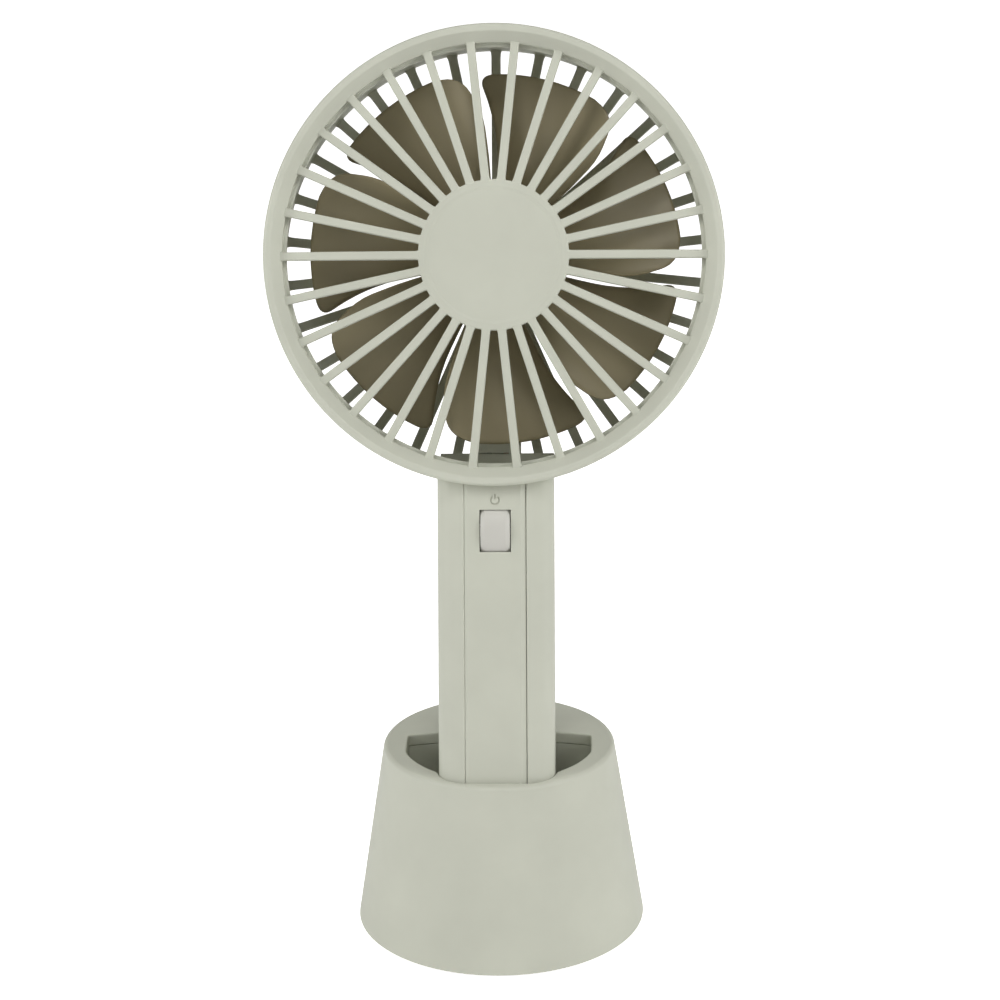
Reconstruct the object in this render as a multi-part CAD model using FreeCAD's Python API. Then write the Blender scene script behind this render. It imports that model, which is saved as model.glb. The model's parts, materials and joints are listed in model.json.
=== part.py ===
"""Handheld electric fan that leans back in a conical desk base, in millimetres.

World frame: origin at the centre of the base's underside, +Z up, the fan faces -Y.
The fan itself is drawn upright in its own frame (handle axis = Z, front = -Y, origin at the
bottom of the handle) and is then leaned back and set into the base by FAN_PLACE.
"""

import FreeCAD
import Part

import math
import os

V = FreeCAD.Vector
OUT = "parts"
os.makedirs(OUT, exist_ok=True)

# ---------------------------------------------------------------- driving dimensions
LEAN = 18.0                # the fan leans back in its base, degrees
HEAD_R = 50.0              # outside radius of the head's bezel
HEAD_Z = 127.4             # height of the spin axis above the handle's bottom end
HANDLE_W = 25.5            # the handle's width and depth
INSERTED = 17.0            # length of handle axis below the base's top face
AXIS_Y = -9.3              # where the handle axis crosses the base's top face

BASE_H = 42.6
BASE_R_TOP = 25.8
BASE_R_BOTTOM = 32.6
LIP_Z = 0.6                # the shell's lower edge hangs this far above the desk
PAD_T = 1.5                # rubber pad
PLATE_TOP = 3.6
WEIGHT_Z = (3.7, 9.9)
SCREW_SEAT = 2.6           # the screw heads are sunk into the plate, above the pad
BOSS_R = 25.2              # circle of the three shell screws

SPOKES = 30
BLADES = 7
BLADE_TIP_R = 41.0
BLADE_T = 1.3
BLADE_START = 42.0         # where the first blade's front edge rests, degrees from +X

# head, along the spin axis (local Y, front is negative)
BEZEL_FRONT = -15.5
BEZEL_BACK = -9.0
DISC_R = 16.35
DISC_FRONT = -14.7
DISC_RECESS = (14.7, 0.15)  # radius and depth of the hub disc's middle
GRILLE_BACK = -12.4
SPOKE_FRONT = -14.2
SPOKE_W = 1.85
LIP_R = 46.0                 # inner edge of the bezel's chamfer
CHAMFER_BACK = -12.9
FLANGE_R = 45.15             # thin flange behind the chamfer
FLANGE_Y = (-11.5, -10.4)
SKIRT_BACK = -6.4
SKIRT_R = 47.9              # outside of the bezel's skirt, inside the ring wall
WALL_R = 49.4              # outside of the rear housing's ring
WALL_IN_R = 48.0
REAR_IN_R = 47.6             # the rear rim's opening
REAR_SPOKE_W = 2.1
REAR_SEAM = 9.4            # the rear grille meets the ring wall here
FOOT_BLOCK_TOP = 43.0      # below the spin axis
REAR_Y = (11.5, 13.4)      # rear spokes
MOTOR_R = 12.0
MOTOR_Y = (-1.0, 12.0)
CUP_IN_R = MOTOR_R + 0.12
CUP_R = 14.4
CUP_Y = (4.2, 18.0)
CUP_FLOOR = (13.6, 15.4)
HUB_R = 14.2
HUB_Y = (-10.4, 3.0)
SHAFT_R = 1.0

# handle
WALL = 1.7
PANEL_W = 13.0
PANEL_GAP = 0.25
CORNER_FRONT = 6.1
CORNER_BACK = 8.0
CAP_Z = 4.6                # top of the bottom cap
CAP_ROUND = 4.0
HALF = HANDLE_W / 2

# speed wheel
WHEEL_Z = 67.6
WHEEL_R = 7.5
WHEEL_W = 6.2
WHEEL_PROUD = 1.2          # how far the wheel stands out of the front panel
WHEEL_Y = -HALF - WHEEL_PROUD + WHEEL_R
AXLE_R = 1.4

CELL_R, CELL_L, CELL_Z = 9.15, 49.5, 5.6     # 18500 cell
CELL_Y = 0.4
BOARD_Y, BOARD_T = 3.6, 1.2
BOARD_Z = (57.5, 76.0)
PORT_Z = 61.5
LED_Z = 68.5
NECK_SCREW_X, NECK_SCREW_Z = 6.2, 75.5
RUN_GAP = 0.05             # radial clearance of a running fit

LEAN_RAD = math.radians(LEAN)
FOOT = V(0, AXIS_Y - INSERTED * math.sin(LEAN_RAD), BASE_H - INSERTED * math.cos(LEAN_RAD))
FAN_PLACE = FreeCAD.Placement(FOOT, FreeCAD.Rotation(V(1, 0, 0), -LEAN))
HEAD = V(0, 0, HEAD_Z)
X, Y, Z = V(1, 0, 0), V(0, 1, 0), V(0, 0, 1)


# ---------------------------------------------------------------- helpers
def save(name, shape, in_fan=True):
    """Writes one node. Shapes of the fan go from its own frame to the world frame."""
    shape = shape.copy()
    if in_fan:
        shape.Placement = FAN_PLACE.multiply(shape.Placement)
    shape.exportStep(os.path.join(OUT, name + ".step"))
    solids = shape.Solids
    state = "ok" if all(s.isValid() and s.Volume > 0 for s in solids) and solids else "BAD"
    print(f"{name:22s} {len(solids):3d} solids {sum(s.Volume for s in solids):10.1f} mm3 {state}")


def box(x0, x1, y0, y1, z0, z1):
    return Part.makeBox(x1 - x0, y1 - y0, z1 - z0, V(x0, y0, z0))


def rod(radius, start, end):
    """Cylinder between two points."""
    axis = end - start
    return Part.makeCylinder(radius, axis.Length, start, axis)


def head_rod(radius, y0, y1, x=0.0, z=0.0):
    """Cylinder along the spin axis, placed from the head's centre."""
    return rod(radius, HEAD + V(x, y0, z), HEAD + V(x, y1, z))


def fused(shapes):
    """One solid from overlapping shapes, with the seams between flush faces removed."""
    first, rest = shapes[0], shapes[1:]
    return (first.fuse(rest) if rest else first).removeSplitter()


def around_head(shape, degrees):
    turned = shape.copy()
    turned.rotate(HEAD, Y, -degrees)
    return turned


def head_revolve(edges):
    """Solid of revolution about the spin axis; edges is a closed (radius, y) outline."""
    face = Part.Face(Part.Wire(edges))
    return face.revolve(HEAD, Y, 360)


def at(radius, y):
    """Point of a head outline."""
    return V(radius, y, HEAD_Z)


def line(a, b):
    return Part.makeLine(a, b)


def arc(a, centre, b):
    """Arc from a to b about centre, the short way."""
    mid = (a - centre) + (b - centre)
    mid = centre + mid.normalize() * (a - centre).Length
    return Part.Arc(a, mid, b).toShape()


def section(grow, z, front=CORNER_FRONT, back=CORNER_BACK):
    """The handle's rounded-square outline as a face at height z, grown outwards by grow."""
    h, rf, rb = HALF + grow, max(front + grow, 0.6), max(back + grow, 0.6)
    p = {
        "fl0": V(-h, -h + rf, z), "fl1": V(-h + rf, -h, z),
        "fr0": V(h - rf, -h, z), "fr1": V(h, -h + rf, z),
        "br0": V(h, h - rb, z), "br1": V(h - rb, h, z),
        "bl0": V(-h + rb, h, z), "bl1": V(-h, h - rb, z),
    }
    edges = [
        arc(p["fl0"], V(-h + rf, -h + rf, z), p["fl1"]), line(p["fl1"], p["fr0"]),
        arc(p["fr0"], V(h - rf, -h + rf, z), p["fr1"]), line(p["fr1"], p["br0"]),
        arc(p["br0"], V(h - rb, h - rb, z), p["br1"]), line(p["br1"], p["bl0"]),
        arc(p["bl0"], V(-h + rb, h - rb, z), p["bl1"]), line(p["bl1"], p["fl0"]),
    ]
    return Part.Face(Part.Wire(edges))


def prism(grow, z0, z1):
    return section(grow, z0).extrude(V(0, 0, z1 - z0))


def screw(radius, length, head_r, head_h, tip, direction):
    """Pan-head screw with a cross slot; tip is the end of its shank, direction points to its head."""
    d = V(direction).normalize()
    seat = tip + d * length
    shank = rod(radius, tip, seat + d * 0.1)
    head = rod(head_r, seat, seat + d * head_h)
    rim = [e for e in head.Edges if abs((e.CenterOfMass - (seat + d * head_h)).Length) < 0.01]
    head = head.makeFillet(head_h * 0.35, rim)
    body = shank.fuse(head).removeSplitter()
    side = d.cross(X) if abs(d.dot(X)) < 0.9 else d.cross(Z)
    side.normalize()
    other = d.cross(side)
    slot_w, slot_d = head_r * 0.32, head_h * 0.55
    for long, wide in ((side, other), (other, side)):
        corner = seat + d * (head_h - slot_d) - long * head_r * 0.62 - wide * slot_w / 2
        wire = Part.makePolygon([
            corner, corner + long * head_r * 1.24,
            corner + long * head_r * 1.24 + wide * slot_w, corner + wide * slot_w, corner,
        ])
        body = body.cut(Part.Face(wire).extrude(d * head_h))
    return body


def lead_path(points, radius):
    """Round wire through points, with each corner rounded as far as its two runs allow."""
    edges, last = [], points[0]
    for before, corner, after in zip(points, points[1:], points[2:]):
        a, b = (before - corner), (after - corner)
        turn = math.pi - a.getAngle(b)
        back = 0.45 * min(a.Length, b.Length)
        bend = back / math.tan(turn / 2)
        start, end = corner + a.normalize() * back, corner + b.normalize() * back
        centre_way = ((start - corner) + (end - corner)).normalize()
        middle = corner + centre_way * (bend / math.cos(turn / 2) - bend)
        edges += [line(last, start), Part.Arc(start, middle, end).toShape()]
        last = end
    edges.append(line(last, points[-1]))
    path = Part.Wire(edges)
    start_dir = (points[1] - points[0]).normalize()
    ring = Part.Wire(Part.makeCircle(radius, points[0], start_dir))
    tube = path.makePipeShell([ring], True, False)
    ratio = tube.Volume / (math.pi * radius**2 * path.Length)
    assert abs(ratio - 1) < 0.02, f"wire volume is off by {ratio:.3f}"
    return tube


# ---------------------------------------------------------------- head
def front_grille():
    """Bezel ring, spokes and hub disc in one moulding, with four snap lugs on its skirt."""
    crest_r, skirt_in = 1.35, 46.8
    bezel = head_revolve([
        line(at(SKIRT_R, BEZEL_BACK), at(HEAD_R - 0.4, BEZEL_BACK)),
        arc(at(HEAD_R - 0.4, BEZEL_BACK), at(HEAD_R - 0.4, BEZEL_BACK - 0.4),
            at(HEAD_R, BEZEL_BACK - 0.4)),
        line(at(HEAD_R, BEZEL_BACK - 0.4), at(HEAD_R, BEZEL_FRONT + crest_r)),
        arc(at(HEAD_R, BEZEL_FRONT + crest_r), at(HEAD_R - crest_r, BEZEL_FRONT + crest_r),
            at(HEAD_R - crest_r, BEZEL_FRONT)),
        line(at(HEAD_R - crest_r, BEZEL_FRONT), at(48.3, BEZEL_FRONT)),
        line(at(48.3, BEZEL_FRONT), at(LIP_R, CHAMFER_BACK)),
        line(at(LIP_R, CHAMFER_BACK), at(LIP_R, FLANGE_Y[0])),
        line(at(LIP_R, FLANGE_Y[0]), at(FLANGE_R, FLANGE_Y[0])),
        line(at(FLANGE_R, FLANGE_Y[0]), at(FLANGE_R, FLANGE_Y[1])),
        line(at(FLANGE_R, FLANGE_Y[1]), at(skirt_in, BEZEL_BACK - 0.4)),
        line(at(skirt_in, BEZEL_BACK - 0.4), at(skirt_in, SKIRT_BACK)),
        line(at(skirt_in, SKIRT_BACK), at(SKIRT_R, SKIRT_BACK)),
        line(at(SKIRT_R, SKIRT_BACK), at(SKIRT_R, BEZEL_BACK)),
    ])
    disc = head_rod(DISC_R, DISC_FRONT, GRILLE_BACK)
    rim = [e for e in disc.Edges if abs(e.CenterOfMass.y - DISC_FRONT) < 0.01]
    disc = disc.makeFillet(0.45, rim)
    recess_r, recess = DISC_RECESS
    disc = disc.cut(head_rod(recess_r, DISC_FRONT - 1, DISC_FRONT + recess))
    spoke = box(DISC_R - 1.0, LIP_R + 0.6, SPOKE_FRONT, GRILLE_BACK,
                HEAD_Z - SPOKE_W / 2, HEAD_Z + SPOKE_W / 2)
    long_front = [e for e in spoke.Edges
                  if e.BoundBox.XLength > 10 and abs(e.CenterOfMass.y - SPOKE_FRONT) < 0.01]
    spoke = spoke.makeFillet(0.4, long_front)
    spokes = [around_head(spoke, k * 360 / SPOKES) for k in range(SPOKES)]
    lug_face = Part.Face(Part.makePolygon(
        [at(47.7, -7.5), at(48.45, -7.2), at(48.45, -7.0), at(47.7, -6.7), at(47.7, -7.5)]))
    lug = lug_face.revolve(HEAD, Y, 12)
    lugs = [around_head(lug, 45 + 90 * k) for k in range(4)]
    return fused([bezel, disc] + spokes + lugs)


LEAD_HOLE = box(-3.2, 3.2, 7.6, 9.8, 70.0, HEAD_Z - 42.0)


def head_ring():
    """Ring wall round the impeller, with the block in its foot and the spigot into the handle."""
    wall = head_revolve([
        line(at(WALL_IN_R, -8.8), at(WALL_R - 0.3, -8.8)),
        line(at(WALL_R - 0.3, -8.8), at(WALL_R, -8.5)),
        line(at(WALL_R, -8.5), at(WALL_R, REAR_SEAM - 0.3)),
        line(at(WALL_R, REAR_SEAM - 0.3), at(WALL_R - 0.3, REAR_SEAM)),
        line(at(WALL_R - 0.3, REAR_SEAM), at(WALL_IN_R, REAR_SEAM)),
        line(at(WALL_IN_R, REAR_SEAM), at(WALL_IN_R, -6.3)),
        line(at(WALL_IN_R, -6.3), at(48.7, -6.6)),
        line(at(48.7, -6.6), at(48.7, -7.6)),
        line(at(48.7, -7.6), at(WALL_IN_R, -7.9)),
        line(at(WALL_IN_R, -7.9), at(WALL_IN_R, -8.8)),
    ])
    block = box(-HALF, HALF, 6.6, REAR_SEAM, HEAD_Z - 49.0, HEAD_Z - FOOT_BLOCK_TOP)
    block = block.common(head_rod(WALL_IN_R + 0.6, 6.6, REAR_SEAM))
    spigot = box(-9.5, 9.5, 6.0, 12.0, 72.0, HEAD_Z - 47.0)
    spigot = spigot.common(prism(-WALL - 0.15, 71.0, HEAD_Z - 46.0))
    spigot = spigot.cut(head_rod(WALL_R + 0.1, REAR_SEAM, 15.0))
    screw_holes = [rod(0.8, V(x, 5.5, NECK_SCREW_Z), V(x, 11.5, NECK_SCREW_Z))
                   for x in (-NECK_SCREW_X, NECK_SCREW_X)]
    return fused([wall, block, spigot]).cut([LEAD_HOLE] + screw_holes)


def rear_grille():
    """Rounded rim, rear spokes, motor cup and the hollow arm that brings the leads to it."""
    rim = head_revolve([
        line(at(WALL_R - 0.3, REAR_SEAM), at(WALL_R, REAR_SEAM + 0.3)),
        line(at(WALL_R, REAR_SEAM + 0.3), at(WALL_R, REAR_Y[1] - 1.5)),
        arc(at(WALL_R, REAR_Y[1] - 1.5), at(WALL_R - 1.5, REAR_Y[1] - 1.5),
            at(WALL_R - 1.5, REAR_Y[1])),
        line(at(WALL_R - 1.5, REAR_Y[1]), at(REAR_IN_R, REAR_Y[1])),
        line(at(REAR_IN_R, REAR_Y[1]), at(REAR_IN_R, REAR_Y[0])),
        line(at(REAR_IN_R, REAR_Y[0]), at(WALL_IN_R, REAR_SEAM + 0.6)),
        line(at(WALL_IN_R, REAR_SEAM + 0.6), at(WALL_IN_R, REAR_SEAM)),
        line(at(WALL_IN_R, REAR_SEAM), at(WALL_R - 0.3, REAR_SEAM)),
    ])
    cup = head_rod(CUP_R, CUP_Y[0], CUP_Y[1])
    edge = [e for e in cup.Edges if abs(e.CenterOfMass.y - CUP_Y[1]) < 0.01]
    cup = cup.makeFillet(0.8, edge)
    spoke = box(CUP_R - 1.2, REAR_IN_R + 0.4, REAR_Y[0], REAR_Y[1],
                HEAD_Z - REAR_SPOKE_W / 2, HEAD_Z + REAR_SPOKE_W / 2)
    step = 360 / SPOKES
    arm_place = 22                                  # the cable arm stands in place of this spoke
    spokes = [around_head(spoke, step * (k + 0.5)) for k in range(SPOKES) if k != arm_place]
    arm = box(-5.25, 5.25, 6.4, 14.6, HEAD_Z - FOOT_BLOCK_TOP, HEAD_Z - 12.6)
    arm_foot = box(-5.25, 5.25, REAR_SEAM, 14.6, HEAD_Z - WALL_IN_R, HEAD_Z - FOOT_BLOCK_TOP + 0.1)
    body = fused([rim, cup, arm, arm_foot] + spokes)
    hollow = [
        head_rod(CUP_IN_R, CUP_Y[0] - 1, CUP_FLOOR[0]),
        head_rod(3.4, CUP_FLOOR[0] - 1, CUP_FLOOR[1] + 1),
        head_rod(12.9, CUP_FLOOR[1], CUP_Y[1] + 1),
        head_rod(1.15, 12, 17, x=7.5), head_rod(1.15, 12, 17, x=-7.5),
        box(-3.2, 3.2, 7.6, 13.4, HEAD_Z - 42.5, HEAD_Z - 11.0),
        LEAD_HOLE,
    ]
    return body.cut(hollow)


def rear_cap():
    """Round cover that hides the motor screws."""
    plate = head_rod(12.8, 16.7, 17.9)
    rim = [e for e in plate.Edges if abs(e.CenterOfMass.y - 17.9) < 0.01]
    plate = plate.makeFillet(0.4, rim)
    clip = head_rod(12.8, 16.2, 16.9).cut(head_rod(11.6, 16.0, 17.0))
    return fused([plate, clip])


def blade_outline():
    """Outline of one blade seen along the spin axis, as a prism that trims the twisted slab.

    The edge near angle 0 lies at the front and ends in a wide round corner. The other edge lies
    at the back, is hollow and ends in a tight corner.
    """
    y = -14.0
    front_edge = ((HUB_R - 1.2, -1.4), (20.0, -1.0), (25.0, -0.2), (29.0, 0.5), (32.0, 1.8),
                  (35.0, 3.8), (37.5, 5.6), (39.2, 7.8), (40.4, 11.2), (BLADE_TIP_R, 15.5))
    tip_angle, middle, root_angle = 53.3, (30.0, 48.6), 46.6

    def polar(radius, degrees):
        a = math.radians(degrees)
        return V(radius * math.cos(a), y, HEAD_Z + radius * math.sin(a))

    curve = Part.BSplineCurve()
    curve.interpolate([polar(*p) for p in front_edge])
    tip_start, tip_end = polar(BLADE_TIP_R, 15.5), polar(BLADE_TIP_R, tip_angle)
    root = polar(HUB_R - 1.2, root_angle)
    wire = Part.Wire([
        curve.toShape(),
        Part.Arc(tip_start, polar(BLADE_TIP_R, 34), tip_end).toShape(),
        Part.Arc(tip_end, polar(*middle), root).toShape(),
        line(root, polar(*front_edge[0])),
    ])
    solid = Part.Face(wire).extrude(V(0, 28, 0))
    tight = [e for e in solid.Edges
             if e.BoundBox.YLength > 20 and abs(e.CenterOfMass.x - tip_end.x) < 0.05]
    return solid.makeFillet(2.0, tight)


def blade():
    """One twisted blade: a slab of constant pitch per turn, trimmed to its outline."""
    front, depth, full, camber = -9.1, 10.4, 50.0, 1.1
    edges = []
    for radius in (HUB_R - 2.5, BLADE_TIP_R + 2.0):
        points = []
        for degrees in range(-6, 61, 11):
            share = degrees / full
            a = math.radians(degrees)
            y = front + depth * share + camber * math.sin(math.pi * share)
            points.append(V(radius * math.cos(a), y, HEAD_Z + radius * math.sin(a)))
        curve = Part.BSplineCurve()
        curve.interpolate(points)
        edges.append(curve.toShape())
    slab = Part.makeRuledSurface(edges[0], edges[1]).extrude(V(0, BLADE_T, 0))
    return slab.common(blade_outline())


def impeller():
    """Cup-shaped hub with seven blades and a bored boss for the shaft."""
    hub = head_revolve([
        line(at(0, -10.4), at(HUB_R - 4.5, -10.4)),
        arc(at(HUB_R - 4.5, -10.4), at(HUB_R - 4.5, -5.9), at(HUB_R, -5.9)),
        line(at(HUB_R, -5.9), at(HUB_R, HUB_Y[1])),
        line(at(HUB_R, HUB_Y[1]), at(HUB_R - 1.5, HUB_Y[1])),
        line(at(HUB_R - 1.5, HUB_Y[1]), at(HUB_R - 1.5, -5.6)),
        arc(at(HUB_R - 1.5, -5.6), at(HUB_R - 4.7, -5.6), at(HUB_R - 4.7, -8.8)),
        line(at(HUB_R - 4.7, -8.8), at(3.2, -8.8)),
        line(at(3.2, -8.8), at(3.2, -3.4)),
        line(at(3.2, -3.4), at(0, -3.4)),
        line(at(0, -3.4), at(0, -10.4)),
    ])
    one = blade().cut(head_rod(HUB_R - 0.75, -14, 6))
    blades = [around_head(one, BLADE_START + k * 360 / BLADES) for k in range(BLADES)]
    body = fused([hub] + blades)
    return body.cut(head_rod(SHAFT_R, -9.4, 0))


def motor_can():
    shell = head_rod(MOTOR_R, MOTOR_Y[0], MOTOR_Y[1])
    rim = [e for e in shell.Edges if abs(e.CenterOfMass.y - MOTOR_Y[0]) < 0.01]
    shell = shell.makeFillet(0.8, rim)
    nose = head_rod(3.1, MOTOR_Y[0] - 1.4, MOTOR_Y[0] + 0.5)
    body = shell.fuse(nose).removeSplitter()
    hollow = [head_rod(MOTOR_R - 0.8, MOTOR_Y[0] + 0.8, MOTOR_Y[1] + 1),
              head_rod(2.3, MOTOR_Y[0] - 1.1, MOTOR_Y[0] + 1.0),
              head_rod(1.3, MOTOR_Y[0] - 2, MOTOR_Y[0] + 1.0)]
    return body.cut(hollow)


def motor_end_bell():
    """Plastic end of the motor, with the rear bush's seat and two tapped holes."""
    plate = head_rod(11.9, MOTOR_Y[1], MOTOR_Y[1] + 1.5)
    plug = head_rod(11.1, MOTOR_Y[1] - 2.0, MOTOR_Y[1] + 0.5)
    boss = head_rod(3.2, MOTOR_Y[1] + 1, MOTOR_Y[1] + 3.0)
    posts = [head_rod(1.8, MOTOR_Y[1] - 2.3, MOTOR_Y[1] + 1, x=x) for x in (-7.5, 7.5)]
    body = fused([plate, plug, boss] + posts)
    hollow = [head_rod(2.6, MOTOR_Y[1] - 3, MOTOR_Y[1] + 0.2),
              head_rod(2.3, MOTOR_Y[1] - 3, MOTOR_Y[1] + 2.2),
              head_rod(0.8, MOTOR_Y[1] - 2.1, MOTOR_Y[1] + 3, x=7.5),
              head_rod(0.8, MOTOR_Y[1] - 2.1, MOTOR_Y[1] + 3, x=-7.5),
              box(-4, 4, MOTOR_Y[1] + 0.0, MOTOR_Y[1] + 2, HEAD_Z - 12.5, HEAD_Z - 9.6)]
    return body.cut(hollow)


def bush(y0, y1):
    return head_rod(2.3, y0, y1).cut(head_rod(SHAFT_R + RUN_GAP, y0 - 1, y1 + 1))


def motor_magnets():
    """Two arc magnets bonded inside the can."""
    tube = head_rod(MOTOR_R - 0.8, 0.6, 9.4).cut(head_rod(8.6, 0, 10))
    wedge = [box(-15, 15, -2, 12, HEAD_Z - 4.2, HEAD_Z + 4.2)]
    return tube.cut(wedge)


def armature():
    """Three-pole laminated core with its windings' outline and the commutator."""
    core = head_rod(3.0, 1.2, 8.8)
    arms = []
    for k in range(3):
        web = box(2.0, 7.2, 1.4, 8.6, HEAD_Z - 1.0, HEAD_Z + 1.0)
        shoe = head_rod(8.2, 1.4, 8.6).cut(head_rod(6.9, 1, 9))
        shoe = shoe.common(box(4.0, 9.0, 1, 9, HEAD_Z - 5.6, HEAD_Z + 5.6))
        arms += [around_head(web, 120 * k), around_head(shoe, 120 * k)]
    return fused([core] + arms).cut(head_rod(SHAFT_R, 0, 10))


def armature_coils():
    """Copper windings round the three webs."""
    coils = []
    for k in range(3):
        coil = box(3.2, 6.4, 0.9, 9.1, HEAD_Z - 2.2, HEAD_Z + 2.2)
        coil = coil.makeFillet(0.45, [e for e in coil.Edges if e.BoundBox.XLength > 3])
        coil = coil.cut(box(3.0, 7.0, 1.4, 8.6, HEAD_Z - 1.0, HEAD_Z + 1.0))
        coils.append(around_head(coil, 120 * k))
    return Part.makeCompound(coils)


def commutator():
    return head_rod(2.2, 9.2, 11.0).cut(head_rod(SHAFT_R, 9, 12))


def motor_brushes():
    """Two sprung brush arms that stand clear of the commutator's running face."""
    left = box(2.5, 3.0, 9.45, 9.98, HEAD_Z - 4.0, HEAD_Z + 4.0)
    return Part.makeCompound([left, left.mirror(HEAD, X)])


def motor_terminals():
    tab = box(1.2, 2.6, 12.2, 12.8, HEAD_Z - 12.3, HEAD_Z - 9.7)
    return Part.makeCompound([tab, tab.mirror(HEAD, X)])


def motor_lead(side):
    """Lead from a motor terminal down the cable arm to the board."""
    x = 1.9 * side
    pts = [
        V(x, 12.5, HEAD_Z - 12.35), V(x, 12.3, HEAD_Z - 16.5), V(x, 10.8, HEAD_Z - 22.0),
        V(x, 9.0, HEAD_Z - 30.0), V(x, 8.7, HEAD_Z - 39.0),
        V(x, 8.7, 71.5), V(x, 7.0, 68.5), V(x, 5.45, 64.5),
    ]
    return lead_path(pts, 0.6)


# ---------------------------------------------------------------- handle
def ring_space():
    """Everything the head's ring fills or encloses, for trimming the handle's top."""
    return head_rod(WALL_R + 0.15, -20, 25).fuse(head_rod(HEAD_R + 0.15, -20, BEZEL_BACK + 0.15))


def handle_shell():
    """Sides and back of the handle, open along the front for the panel."""
    top = 84.0
    outer = prism(0, CAP_Z + 0.1, top)
    body = outer.cut([
        prism(-WALL, CAP_Z - 1, top + 1),
        box(-PANEL_W / 2 - PANEL_GAP, PANEL_W / 2 + PANEL_GAP, -HALF - 1, -HALF + WALL + 0.5,
            CAP_Z - 1, top + 1),
        ring_space(),
        box(-4.1, 4.1, HALF - 3, HALF + 1, PORT_Z - 1.7, PORT_Z + 1.7),
        rod(1.1, V(0, HALF - 3, LED_Z), V(0, HALF + 1, LED_Z)),
    ])
    for x in (-NECK_SCREW_X, NECK_SCREW_X):
        hole = rod(1.15, V(x, HALF - 3, NECK_SCREW_Z), V(x, HALF + 1, NECK_SCREW_Z))
        recess = rod(2.1, V(x, HALF - 0.9, NECK_SCREW_Z), V(x, HALF + 1, NECK_SCREW_Z))
        body = body.cut([hole, recess])
    return body


def wheel_window():
    half_w, half_h = WHEEL_W / 2 + 0.3, 4.6
    window = box(-half_w, half_w, -HALF - 1, -HALF + 4, WHEEL_Z - half_h, WHEEL_Z + half_h)
    upright = [e for e in window.Edges if e.BoundBox.YLength > 3]
    relief = rod(WHEEL_R + 0.3, V(-half_w, WHEEL_Y, WHEEL_Z), V(half_w, WHEEL_Y, WHEEL_Z))
    return window.makeFillet(0.7, upright).fuse(relief)


def power_mark():
    """A small engraved circle with a bar: the generic power sign."""
    z = WHEEL_Z + 6.7
    depth = 0.25
    y0 = -HALF - 0.5
    ring = rod(1.05, V(0, y0, z), V(0, -HALF + depth, z)).cut(
        rod(0.78, V(0, y0 - 1, z), V(0, HALF, z)))
    ring = ring.cut(box(-0.42, 0.42, -HALF - 1, 0, z, z + 2))
    bar = box(-0.14, 0.14, y0, -HALF + depth, z + 0.1, z + 1.25)
    return ring.fuse(bar)


def front_panel():
    """Flat strip with bevelled edges that closes the handle's front; clips reach behind the shell."""
    half_w, bevel_w, bevel_d = PANEL_W / 2, 1.25, 0.4
    z0, z1 = CAP_Z + 0.1, 84.0
    outline = Part.makePolygon([
        V(-half_w, -HALF + WALL, z0), V(-half_w, -HALF + bevel_d, z0),
        V(-half_w + bevel_w, -HALF, z0), V(half_w - bevel_w, -HALF, z0),
        V(half_w, -HALF + bevel_d, z0), V(half_w, -HALF + WALL, z0),
        V(-half_w, -HALF + WALL, z0),
    ])
    strip = Part.Face(outline).extrude(V(0, 0, z1 - z0))
    pieces = [strip]
    for z in (10.0, 30.0, 50.0):
        hook = box(-half_w - 1.2, half_w + 1.2, -HALF + WALL + 0.25, -HALF + WALL + 1.1, z, z + 4)
        web = box(-half_w + 0.6, half_w - 0.6, -HALF + WALL - 0.5, -HALF + WALL + 0.9, z, z + 4)
        pieces += [hook, web]
    body = fused(pieces)
    body = body.cut([box(-5.2, 5.2, -HALF + WALL - 0.001, 0, 9.0, 56.0)])
    return body.cut([ring_space(), wheel_window(), power_mark()])


def bottom_cap():
    """Closed end of the handle, domed at its edge, with a plug that enters the shell."""
    cap = prism(0, 0, CAP_Z)
    low = [e for e in cap.Edges if e.BoundBox.ZMax < 0.01]
    cap = cap.makeFillet(CAP_ROUND, low)
    cap = cap.cut(prism(-2.2, 2.4, CAP_Z + 1))
    plug = prism(-WALL - 0.12, 2.0, CAP_Z + 3.0).cut(prism(-WALL - 1.3, 1, CAP_Z + 4))
    plug = plug.cut(box(-PANEL_W / 2 - 1.6, PANEL_W / 2 + 1.6, -HALF, -6, CAP_Z, CAP_Z + 4))
    seat = rod(CELL_R + 1.0, V(0, CELL_Y, 2.2), V(0, CELL_Y, CELL_Z - 0.5))
    seat = seat.cut(rod(CELL_R - 2.5, V(0, CELL_Y, 2.0), V(0, CELL_Y, CELL_Z)))
    return fused([cap, plug, seat.common(prism(-WALL - 0.2, 0, CAP_Z + 3))])


def battery_cell():
    body = rod(CELL_R, V(0, CELL_Y, CELL_Z), V(0, CELL_Y, CELL_Z + CELL_L - 1.0))
    body = body.makeFillet(0.5, [e for e in body.Edges if e.BoundBox.ZLength < 0.01])
    button = rod(3.0, V(0, CELL_Y, CELL_Z + CELL_L - 1.1), V(0, CELL_Y, CELL_Z + CELL_L))
    return fused([body, button])


def battery_tabs():
    """Nickel strips on the cell's two ends."""
    top = box(-2.2, 2.2, -4.5, 3.4, CELL_Z + CELL_L, CELL_Z + CELL_L + 0.2)
    low = box(-2.2, 2.2, -4.5, 3.4, CELL_Z - 0.2, CELL_Z)
    return Part.makeCompound([top, low])


def control_board():
    board = box(-9.2, 9.2, BOARD_Y, BOARD_Y + BOARD_T, BOARD_Z[0], BOARD_Z[1])
    corners = [e for e in board.Edges if e.BoundBox.YLength > 1]
    return board.makeFillet(1.0, corners)


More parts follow.
